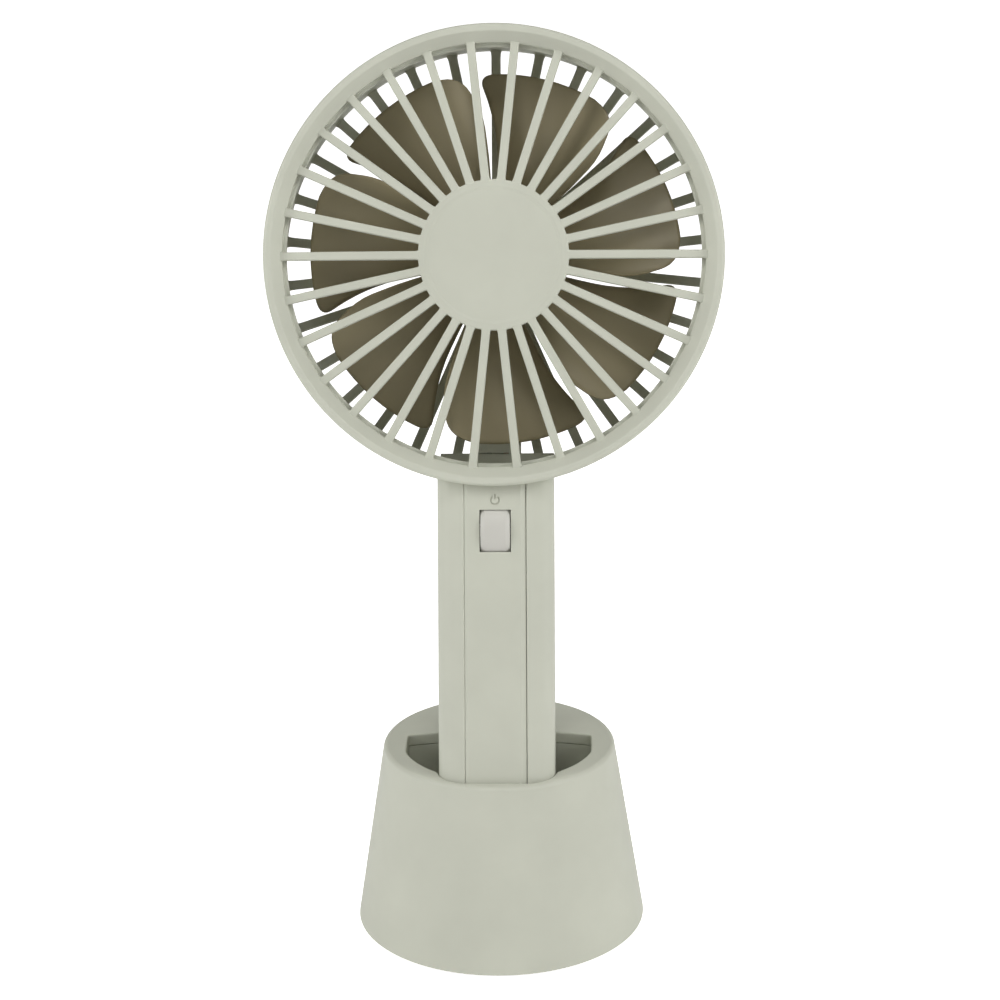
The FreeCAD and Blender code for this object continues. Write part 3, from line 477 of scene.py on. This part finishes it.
def front_grille():
    """Bezel with its flange and skirt, thirty spokes and the hub disc."""
    bezel = lathe("bezel", rounded([
        (SKIRT_R, BEZEL_BACK, 0.0), (HEAD_R, BEZEL_BACK, 0.4), (HEAD_R, BEZEL_FRONT, 1.35),
        (48.3, BEZEL_FRONT, 0.6), (LIP_R, CHAMFER_BACK, 0.3), (LIP_R, FLANGE_FRONT, 0.1),
        (FLANGE_R, FLANGE_FRONT, 0.25), (FLANGE_R, FLANGE_BACK, 0.25),
        (SKIRT_IN_R, FLANGE_BACK + 1.0, 0.3), (SKIRT_IN_R, SKIRT_BACK, 0.25),
        (SKIRT_R, SKIRT_BACK, 0.25)]), HEAD_STEPS)
    edge = rounded([(0, DISC_DISH, 0), (14.3, DISC_DISH, 0.6), (14.9, DISC_FRONT, 0.6),
                    (DISC_R, DISC_FRONT, 0.35), (DISC_R, DISC_BACK, 0.3),
                    (0, DISC_BACK, 0)], 8)
    disc = lathe("disc", edge, 192)
    spokes = copies_around(front_spoke, [k * 360 / SPOKES for k in range(SPOKES)])
    body = combine(combine(bezel, spokes, "UNION"), disc, "UNION")
    return piece(body, "front_grille_cover", "fan", ["front_grille"], FAN)


def foot_height(x, y, sink=0.0):
    """Height of the ring's outside below the head's centre, where the handle meets it."""
    radius = WALL_R
    if y > REAR_BACK - RIM_CORNER:
        into = min(y - REAR_BACK + RIM_CORNER, RIM_CORNER)
        radius = WALL_R - RIM_CORNER + math.sqrt(max(RIM_CORNER ** 2 - into * into, 0.0))
    if y < BEZEL_BACK:
        radius = HEAD_R
    radius -= sink
    return -math.sqrt(radius * radius - x * x)


def head_ring():
    """Round wall of the head, with the block that the handle meets and its lead hole."""
    wall = lathe("wall", rounded([
        (WALL_IN_R, WALL_FRONT, 0.1), (WALL_R, WALL_FRONT, 0.3), (WALL_R, REAR_SEAM, 0.3),
        (WALL_IN_R, REAR_SEAM, 0.1)]), HEAD_STEPS)
    foot = block("foot", (-HALF, 6.9, -49.2), (HALF, REAR_SEAM - 0.01, -43.0), 0.8)
    trim_r = WALL_IN_R + 0.6
    trim = lathe("trim", [(0, -5), (trim_r, -5), (trim_r, 12), (0, 12)], HEAD_STEPS)
    foot = combine(foot, trim, "INTERSECT")
    body = combine(wall, softened(foot, 0.4, 3), "UNION")
    lead_hole = block("lead_hole", (-LEAD_HALF, LEAD_FRONT, -60.0), (LEAD_HALF, 9.0, -42.0), 0.4)
    body = combine(body, lead_hole, "DIFFERENCE")
    return piece(body, "head_ring_wall", "fan", ["head_ring"], FAN)


def rear_spoke():
    """One spoke, from inside the motor cup to inside the rear rim."""
    inner, outer, width = CUP_R - 0.9, REAR_IN_R + 0.4, 2.1
    loops = []
    for share in (0, 0.03, 0.06, 0.3, 0.6, 0.94, 0.97, 1):
        radius = inner + (outer - inner) * share
        near = min(1.0, max(0.0, 1 - min(radius - CUP_R, REAR_IN_R - radius)))
        wide = width + 0.8 * near ** 2
        outline = rounded([(-wide / 2, REAR_SPOKE_FRONT, 0.3), (wide / 2, REAR_SPOKE_FRONT, 0.3),
                           (wide / 2, 13.35, 0.5), (-wide / 2, 13.35, 0.5)], 4)
        loops.append([(radius, p.y, p.x) for p in outline])
    return skin("rear_spoke", loops)


def rear_grille():
    """Rear rim, spokes, motor cup and the arm that carries the leads."""
    rim = lathe("rim", rounded([
        (WALL_IN_R, REAR_SEAM + 0.02, 0.1), (WALL_R, REAR_SEAM + 0.02, 0.25),
        (WALL_R, REAR_BACK, RIM_CORNER), (REAR_IN_R, REAR_BACK, 0.2),
        (REAR_IN_R, REAR_SPOKE_FRONT, 0.4), (WALL_IN_R, 10.0, 0.4)], 8), HEAD_STEPS)
    cup = lathe("cup", rounded([
        (CUP_IN_R, CUP_FRONT, 0.3), (CUP_R, CUP_FRONT, 0.3), (CUP_R, CUP_BACK, 0.8),
        (CUP_SEAT_R, CUP_BACK, 0.15), (CUP_SEAT_R, 15.4, 0.1), (3.4, 15.4, 0.1),
        (3.4, 13.6, 0.1), (CUP_IN_R, 13.6, 0.1)]), 160)
    step = 360 / SPOKES
    places = [step * (k + 0.5) for k in range(SPOKES) if k != ARM_PLACE]
    spokes = copies_around(rear_spoke, places)
    arm = block("arm", (-ARM_HALF, 6.4, -42.9), (ARM_HALF, ARM_BACK, -12.9), 0.9)
    arm_foot = block("arm_foot", (-ARM_HALF, REAR_SEAM + 0.02, -47.9),
                     (ARM_HALF, ARM_BACK, -42.0), 0.9)
    body = rim
    for part in (spokes, cup, arm, arm_foot):
        body = combine(body, part, "UNION")
    channel = block("channel", (-LEAD_HALF, LEAD_FRONT, -42.5), (LEAD_HALF, 13.4, -11.0), 0.4)
    hole = block("hole", (-LEAD_HALF, LEAD_FRONT, -60.0), (LEAD_HALF, 9.8, -42.0), 0.4)
    holes = merged("screw_holes", [
        lathe("h", [(0, 12.5), (1.15, 12.5), (1.15, 17), (0, 17)], 24, "y", (x, 0, 0))
        for x in (-7.5, 7.5)])
    for tool in (channel, hole, holes):
        body = combine(body, tool, "DIFFERENCE")
    return piece(body, "rear_grille_cover", "fan", ["rear_grille"], FAN)


def rear_cap():
    """Round cover with a shallow dished face and a finger notch at its lower edge."""
    profile = [(0, 16.7), (11.6, 16.7), (11.6, 16.2), (CAP_R, 16.2)]
    profile += [(CAP_R - 0.5 * (1 - math.cos(a)), 17.4 + 0.5 * math.sin(a))
                for a in (0, 0.4, 0.8, 1.2, 1.57)]
    profile += [(11.4, 17.9), (11.1, 17.75), (10.8, 17.6), (8.0, 17.55), (4.0, 17.5), (0, 17.5)]
    body = lathe("rear_cap", profile, 160)
    notch = lathe("notch", [(0, -13.6), (1.6, -13.6), (1.6, -11.9), (0, -11.9)], 32, "z",
                  (0, 18.6, 0))
    body = combine(body, notch, "DIFFERENCE")
    return piece(body, "rear_cap_cover", "fan", ["rear_cap"], FAN)


# ---------------------------------------------------------------- impeller
FRONT_EDGE = ((13.0, -1.4), (20.0, -1.0), (25.0, -0.2), (29.0, 0.5), (32.0, 1.8), (35.0, 3.8),
              (37.5, 5.6), (39.2, 7.8), (40.4, 11.2), (41.0, 15.5))
BACK_EDGE = ((13.0, 46.6), (20.0, 46.7), (25.0, 47.2), (30.0, 48.6), (35.0, 50.6),
             (38.6, 52.2), (39.6, 52.1), (40.3, 51.5), (40.8, 50.2), (41.0, 48.4))


def smooth_table(table, x):
    """Value at x of a smooth curve through a table's points."""
    i = max(1, min(len(table) - 1, next((k for k, p in enumerate(table) if p[0] >= x),
                                        len(table) - 1)))
    (x0, y0), (x1, y1) = table[i - 1], table[i]
    before, after = table[max(i - 2, 0)], table[min(i + 1, len(table) - 1)]
    m0 = (y1 - before[1]) / (x1 - before[0])
    m1 = (after[1] - y0) / (after[0] - x0)
    h = x1 - x0
    t = (x - x0) / h
    return ((2 * t ** 3 - 3 * t ** 2 + 1) * y0 + (t ** 3 - 2 * t ** 2 + t) * h * m0
            + (3 * t ** 2 - 2 * t ** 3) * y1 + (t ** 3 - t ** 2) * h * m1)


# The twist: per BLADE_SPAN degrees the front face falls back by BLADE_DEPTH, bowed by BLADE_BOW.
BLADE_SPAN = 50.0
BLADE_FRONT, BLADE_DEPTH, BLADE_BOW = -9.1, 10.4, 1.1
BLADE_MID = 0.65                  # from the front face to the middle of the blade


def blade():
    """Twisted blade with rounded edges all round; its edge near angle 0 lies at the front."""
    tip, root = BLADE_TIP_R, HUB_R - 0.6
    radii = [root, HUB_R + 0.3, HUB_R + 0.8, 16.0, 18.5, 22, 25, 28, 30, 32, 33.5, 35, 36.3,
             37.5, 38.5, 39.3, 39.9, 40.35, 40.65, 40.85, 40.96, tip]
    across = [0, 0.008, 0.025, 0.05, 0.09, 0.15, 0.25, 0.38, 0.5, 0.62, 0.75, 0.85, 0.91, 0.95,
              0.975, 0.992, 1]
    loops = []
    for radius in radii:
        front_edge, back_edge = smooth_table(FRONT_EDGE, radius), smooth_table(BACK_EDGE, radius)
        near_hub = min(1.0, max(0.0, 1 - (radius - HUB_R) / 1.6))
        half = 0.62 + 0.45 * near_hub ** 2
        rim = min(1.0, (tip - radius) / 0.7)
        half *= math.sqrt(max(0.0, 1 - (1 - rim) ** 2))
        chord = math.radians(back_edge - front_edge) * radius
        sides = ([], [])
        for share in across:
            degrees = front_edge + (back_edge - front_edge) * share
            edge = min(1.0, min(share, 1 - share) * chord / 0.7)
            thick = half * math.sqrt(max(0.0, 1 - (1 - edge) ** 2))
            turned = degrees / BLADE_SPAN
            y = (BLADE_FRONT + BLADE_DEPTH * turned + BLADE_BOW * math.sin(math.pi * turned)
                 + BLADE_MID)
            a = math.radians(degrees)
            for side, row in zip((-1, 1), sides):
                row.append((radius * math.cos(a), y + side * thick, radius * math.sin(a)))
        loops.append(sides[0] + sides[1][-2:0:-1])
    return skin("blade", loops)


def impeller():
    """Hub with a rounded nose, open at the back, and its blades."""
    hub = lathe("hub", rounded([
        (0, -10.4, 0), (HUB_R, -10.4, 4.5), (HUB_R, 3.0, 0.25), (HUB_R - 1.5, 3.0, 0.25),
        (HUB_R - 1.5, -8.8, 3.0), (3.2, -8.8, 0.2), (3.2, -3.4, 0.2), (0, -3.4, 0)], 8), 160)
    blades = copies_around(blade, [BLADE_START + k * 360 / BLADES for k in range(BLADES)])
    body = combine(hub, blades, "UNION")
    return piece(body, "impeller_blades", "rotor", ["impeller"], FAN, "blade_plastic", angle=40)


# ---------------------------------------------------------------- handle
def shell_outline(grow, steps=8):
    """Outer and inner outline of the open C section, point for point."""
    h, i = HALF + grow, HALF - WALL
    outer = [(SEAM_X - grow, -h, 0.3), (h, -h + FACET, 4.5), (h, h, 8), (-h, h, 8),
             (-h, -h + FACET, 4.5), (-SEAM_X + grow, -h, 0.3)]
    inner = [(SEAM_X - grow, -i, 0.12), (i, -i + FACET * 0.7, 3.2), (i, i, 6.3), (-i, i, 6.3),
             (-i, -i + FACET * 0.7, 3.2), (-SEAM_X + grow, -i, 0.12)]
    closed = rounded(outer + inner[::-1], steps)
    half = len(closed) // 2
    return closed[:half], closed[half:][::-1]


def handle_shell():
    """Open C section from the bottom cap up into the ring's wall."""
    rows = []
    heights = [(SHELL_BOTTOM, -0.12), (SHELL_BOTTOM + 0.12, 0.0)]
    heights += [(SHELL_BOTTOM + s, 0.0) for s in (10, 20, 30, 40, 50, 60, 68)]
    for z, grow in heights:
        outer, inner = shell_outline(grow)
        rows.append([(p.x, p.y, z) for p in outer] + [(p.x, p.y, z) for p in reversed(inner)])
    outer, inner = shell_outline(0.0)
    rows.append([(p.x, p.y, foot_height(p.x, p.y, 0.4)) for p in outer]
                + [(p.x, p.y, foot_height(p.x, p.y, 0.4)) for p in reversed(inner)])
    body = skin("handle", rows)
    port_z, led_z, screw_z = (HANDLE_BOTTOM + up for up in (PORT_UP, LED_UP, SCREW_UP))
    port = block("port", (-4.1, -1.7, 0), (4.1, 1.7, 5), 0.8)
    port.data.transform(Matrix.Translation((0, HALF + 1.5, port_z))
                        @ Matrix.Rotation(math.radians(90), 4, "X"))
    tools = [port, lathe("led", [(0, HALF - 4), (1.1, HALF - 4), (1.1, HALF + 1), (0, HALF + 1)],
                         32, "y", (0, 0, led_z))]
    for x in (-SCREW_X, SCREW_X):
        tools.append(lathe("screw", [(0, HALF - 4), (1.15, HALF - 4), (1.15, HALF - 0.9),
                                     (2.1, HALF - 0.9), (2.1, HALF + 1), (0, HALF + 1)],
                           32, "y", (x, 0, screw_z)))
    for tool in tools:
        body = combine(body, tool, "DIFFERENCE")
    return piece(body, "handle_grip_shell", "fan", ["handle_shell"], FAN)


def power_mark():
    """Cutter for the generic power sign: an open ring with a bar."""
    z = WHEEL_Z + 6.7
    front, depth = -HALF - 0.5, -HALF + 0.22
    arc = []
    for k in range(25):
        a = math.radians(125 + 290 * k / 24)
        arc.append((math.cos(a), math.sin(a)))
    outline = [(1.05 * x, 1.05 * s) for x, s in arc] + [(0.76 * x, 0.76 * s)
                                                       for x, s in reversed(arc)]
    ring = skin("ring", [[(x, y, z + s) for x, s in outline] for y in (front, depth)])
    bar = block("bar", (-0.15, front, z + 0.15), (0.15, depth, z + 1.3), 0.0)
    return merged("mark", [ring, bar])


def front_panel():
    """Flat strip with bevelled long edges, the wheel's window and an engraved power sign."""
    half, bevel_w, bevel_d = SEAM_X - 0.10, 1.15, 0.42
    left = SEAM_X - 0.03
    back = -HALF + WALL
    section = rounded([(-left, back, 0.1), (-left, -HALF + 0.2, 0.12),
                       (-left + 0.6, -HALF, 0.25), (half - bevel_w, -HALF, 0.25),
                       (half, -HALF + bevel_d, 0.12), (half, back, 0.1)], 3)
    rows = [[(p.x, p.y, SHELL_BOTTOM) for p in section]]
    rows.append([(p.x, p.y, foot_height(p.x, p.y, 0.4)) for p in section])
    body = skin("panel", rows)
    half_w, half_h = 3.4, 4.6
    window = block("window", (-half_w, -half_h, 0), (half_w, half_h, 6), 0.7, 6)
    window.data.transform(Matrix.Translation((0, -HALF + 3, WHEEL_Z))
                          @ Matrix.Rotation(math.radians(90), 4, "X"))
    relief = lathe("relief", [(0, -half_w), (WHEEL_R + 0.3, -half_w), (WHEEL_R + 0.3, half_w),
                              (0, half_w)], 96, "x", (0, WHEEL_Y, WHEEL_Z))
    for tool in (window, relief, power_mark()):
        body = combine(body, tool, "DIFFERENCE")
    body = softened(body, 0.09, 2, 50)
    return piece(body, "handle_front_panel", "fan", ["front_panel"], FAN)


def bottom_cap():
    """Domed cup that closes the handle's lower end, hollow above."""
    top, round_r = SHELL_BOTTOM - 0.1, 4.0
    rows = []

    def loop(grow, z):
        h = HALF + grow
        corner_f, corner_b = max(4.5 + grow, 0.8), max(8 + grow, 0.8)
        seam, facet = min(SEAM_X, h - 1), FACET * h / HALF
        outline = rounded([(-seam, -h, 0.6), (seam, -h, 0.6), (h, -h + facet, corner_f),
                           (h, h, corner_b), (-h, h, corner_b), (-h, -h + facet, corner_f)], 8)
        return [(p.x, p.y, z) for p in outline]

    for k in range(9):
        a = math.pi / 2 * k / 8
        rows.append(loop(-round_r * (1 - math.sin(a)),
                         HANDLE_BOTTOM + round_r * (1 - math.cos(a))))
    rows += [loop(0, top - 0.12), loop(-0.12, top), loop(-1.82, top), loop(-1.82, top + 2.9),
             loop(-3.0, top + 2.9), loop(-3.0, HANDLE_BOTTOM + 2.4)]
    body = skin("cap", rows)
    return piece(body, "handle_bottom_cap", "fan", ["bottom_cap"], FAN)


def speed_wheel():
    """Crowned thumb wheel: smooth in the middle with two soft shoulders."""
    h, bore = (wheel_high.x - wheel_low.x) / 2 + 0.1, 1.4
    r = WHEEL_R
    profile = rounded([(bore, -h, 0.1), (r - 0.5, -h, 0.15), (r, -h + 0.95, 0.4),
                       (r, h - 0.95, 0.4), (r - 0.5, h, 0.15), (bore, h, 0.1)], 5)
    body = lathe("wheel", profile, 160, "x", (0, WHEEL_Y, WHEEL_Z))
    return piece(body, "speed_thumbwheel", "wheel", ["speed_wheel"], FAN, "button_plastic")


# ---------------------------------------------------------------- base
SLOT_HALF, SLOT_BACK, SLOT_BOW = 20.6, 5.6, 2.6
SLOT_CORNER_Y = -6.0
THIN_WALL = 1.0                   # least wall left in front of the handle's seat


def opening_outline():
    """Opening in the base's top, counter-clockwise, and for each point if it lies in the notch."""
    step = 0.45
    slot_r = math.hypot(SLOT_HALF, SLOT_CORNER_Y)
    bow_r = (SLOT_HALF ** 2 + SLOT_BOW ** 2) / (2 * SLOT_BOW)
    bow = math.degrees(math.asin(SLOT_HALF / bow_r))
    notch_half, notch_r = HALF + 0.3, 6.4
    tall = 1 / math.cos(LEAN)
    notch_front = AXIS_Y - notch_half * tall
    centre = (notch_half - notch_r, notch_front + notch_r * tall)
    # The angle where the notch's rounded corner leaves the slot's front arc.
    leave = 0.0
    while math.hypot(centre[0] + notch_r * math.cos(math.radians(leave)),
                     centre[1] - notch_r * tall * math.sin(math.radians(leave))) < slot_r:
        leave += 0.25
    leave_x = centre[0] + notch_r * math.cos(math.radians(leave))
    start = -math.degrees(math.acos(leave_x / slot_r))
    corner = math.degrees(math.atan2(SLOT_CORNER_Y, SLOT_HALF))
    # The right half, from the front middle round to the back middle.
    notch = [Vector((centre[0] * k / 6, notch_front)) for k in range(7)]
    notch += arc_points(notch_r, -90, -leave, step, centre, tall)[1:]
    front = arc_points(slot_r, start, corner, step)[1:]
    side = [Vector((SLOT_HALF, SLOT_CORNER_Y + (SLOT_BACK - SLOT_BOW - SLOT_CORNER_Y) * k / 18))
            for k in range(1, 19)]
    back = arc_points(bow_r, 90 - bow, 90, step, (0, SLOT_BACK - bow_r))[1:]
    half = notch + front + side + back
    flags = [True] * len(notch) + [False] * (len(half) - len(notch))
    mirrored = [Vector((-p.x, p.y)) for p in half[1:-1]][::-1]
    return half + mirrored, flags + flags[1:-1][::-1]


def relaxed(loop, rounds):
    """Rounds a dense outline's corners a little by averaging neighbours."""
    for _ in range(rounds):
        loop = [(loop[i - 1] + p * 2 + loop[(i + 1) % len(loop)]) / 4
                for i, p in enumerate(loop)]
    return loop


def base_shell():
    """Conical shell: outside, rolled rim, flat top, opening edge, underside and inside."""
    outline, in_notch = opening_outline()
    outline = relaxed(outline, 3)
    angles = [math.atan2(p.y, p.x) for p in outline]
    slope = (BASE_R_TOP - BASE_R_BOTTOM) / BASE_H
    tilt = math.atan(-slope)
    rows = []

    def ring(radius, z):
        rows.append([(radius * math.cos(a), radius * math.sin(a), z) for a in angles])

    def outside(z, inset=0.0):
        return BASE_R_BOTTOM + slope * z - inset

    def opening(grow, depth):
        loop = offset(outline, grow)
        forward = math.tan(LEAN) * depth
        rows.append([(p.x, p.y - (forward if notch else 0.0), BASE_H - depth)
                     for p, notch in zip(loop, in_notch)])

    wall, top_t = 2.2, 2.6
    ring(outside(LIP_Z, wall), LIP_Z + 0.2)
    ring(outside(LIP_Z, wall - 0.2), LIP_Z)
    ring(outside(LIP_Z, 0.45), LIP_Z)
    ring(outside(LIP_Z, 0.2), LIP_Z + 0.06)
    ring(outside(LIP_Z, 0.05), LIP_Z + 0.22)
    for share in (0.012, 0.03, 0.2, 0.4, 0.6, 0.8, 0.93):
        z = LIP_Z + (BASE_H - LIP_Z) * share
        ring(outside(z), z)
    rim = 1.1
    centre_z = BASE_H - rim
    centre_r = outside(centre_z) - rim / math.cos(tilt)
    for k in range(8):
        a = tilt + (math.pi / 2 - tilt) * k / 7
        ring(centre_r + rim * math.cos(a), centre_z + rim * math.sin(a))
    edge = 0.4
    for k in range(5):
        a = math.pi / 2 * k / 4
        opening(edge * (1 - math.sin(a)), edge * (1 - math.cos(a)))
    opening(0.0, 1.2)
    opening(0.0, top_t - 0.1)
    opening(0.1, top_t)
    for depth in (top_t, 6.0, 10.0, 13.0, 20.0, 30.0):
        z = BASE_H - depth
        radius = outside(z, wall)
        forward = math.tan(LEAN) * depth
        row = []
        for p, a, notch in zip(outline, angles, in_notch):
            q = Vector((radius * math.cos(a), radius * math.sin(a)))
            seat = Vector((p.x, p.y - forward))
            if notch and depth < 13.5 and seat.length > radius:
                q = seat * min(1.0, (outside(z) - THIN_WALL) / seat.length)
            row.append((q.x, q.y, z))
        rows.append(row)
    body = skin("base", rows, ring=True)
    return piece(body, "base_cone_shell", "base", ["base_shell"], BASE, angle=38)


def rubber_pad():
    """Flat disc under the base."""
    r, t = pad_high.x, pad_high.z
    profile = rounded([(0, 0, 0), (r, 0, 0.35), (r, t, 0.1), (0, t, 0)], 5)
    body = lathe("pad", profile, 192, "z")
    return piece(body, "rubber_foot_pad", "base", ["rubber_pad"], BASE, "rubber")


# ---------------------------------------------------------------- studio
def camera():
    """Long lens, a little above the fan and to its right."""
    azimuth, elevation, roll = (math.radians(a) for a in (1.7, 19.03, -0.82))
    distance, target = 0.6366, Vector((0.00098, 0.0, 0.09976))
    data = bpy.data.cameras.new("camera")
    data.sensor_width = 36.0
    data.lens = 104.9
    back = Vector((math.sin(azimuth) * math.cos(elevation),
                   -math.cos(azimuth) * math.cos(elevation), math.sin(elevation)))
    obj = bpy.data.objects.new("camera", data)
    obj.rotation_mode = "QUATERNION"
    obj.location = target + back * distance
    obj.rotation_quaternion = ((-back).to_track_quat("-Z", "Y")
                               @ Quaternion((0, 0, 1), roll))
    bpy.context.scene.collection.objects.link(obj)
    bpy.context.scene.camera = obj


def area_light(name, place, size, power, aim=(0, 0, 0.1)):
    """Round softbox at a place, turned towards aim."""
    data = bpy.data.lights.new(name, "AREA")
    data.shape = "DISK"
    data.size = size
    data.energy = power
    obj = bpy.data.objects.new(name, data)
    obj.location = place
    obj.rotation_mode = "QUATERNION"
    obj.rotation_quaternion = (Vector(aim) - Vector(place)).to_track_quat("-Z", "Y")
    bpy.context.scene.collection.objects.link(obj)


# How brightly the floor glows: as the lights' bounce, and as the camera's white backdrop.
FLOOR_GLOW = 0.25
BACKDROP_GLOW = 0.80


def studio():
    """White floor that runs to the horizon, four softboxes and a dim sky."""
    material, tree, out = shader("floor")
    out.inputs["Base Color"].default_value = (0.93, 0.93, 0.925, 1)
    out.inputs["Roughness"].default_value = 0.9
    out.inputs["Specular IOR Level"].default_value = 0.1
    out.inputs["Emission Color"].default_value = (1, 1, 1, 1)
    ray = tree.nodes.new("ShaderNodeLightPath")
    glow = tree.nodes.new("ShaderNodeMapRange")
    glow.inputs["To Min"].default_value = FLOOR_GLOW
    glow.inputs["To Max"].default_value = BACKDROP_GLOW
    tree.links.new(ray.outputs["Is Camera Ray"], glow.inputs["Value"])
    tree.links.new(glow.outputs["Result"], out.inputs["Emission Strength"])
    size = 6.0
    corners = [(-size, -size, 0), (size, -size, 0), (size, size, 0), (-size, size, 0)]
    floor = shape("floor", corners, [(0, 1, 2, 3)])
    floor.data.materials.append(material)
    area_light("key", (-0.80, -0.34, 0.52), 0.5, 4.2)
    area_light("fill", (0.80, -0.34, 0.52), 0.5, 4.4)
    area_light("top", (0.0, -0.42, 1.05), 0.4, 2.6)
    area_light("back", (0.15, 1.10, 1.00), 1.0, 2.0, (0, 0.5, 0))
    world = bpy.data.worlds.new("studio")
    world.use_nodes = True
    sky = world.node_tree.nodes["Background"]
    sky.inputs["Color"].default_value = (1.0, 1.0, 1.0, 1)
    sky.inputs["Strength"].default_value = 0.20
    bpy.context.scene.world = world
    bpy.context.scene.view_settings.view_transform = "Standard"


camera()
studio()
dress_cad_nodes()
front_grille()
head_ring()
rear_grille()
rear_cap()
impeller()
handle_shell()
front_panel()
bottom_cap()
speed_wheel()
base_shell()
rubber_pad()
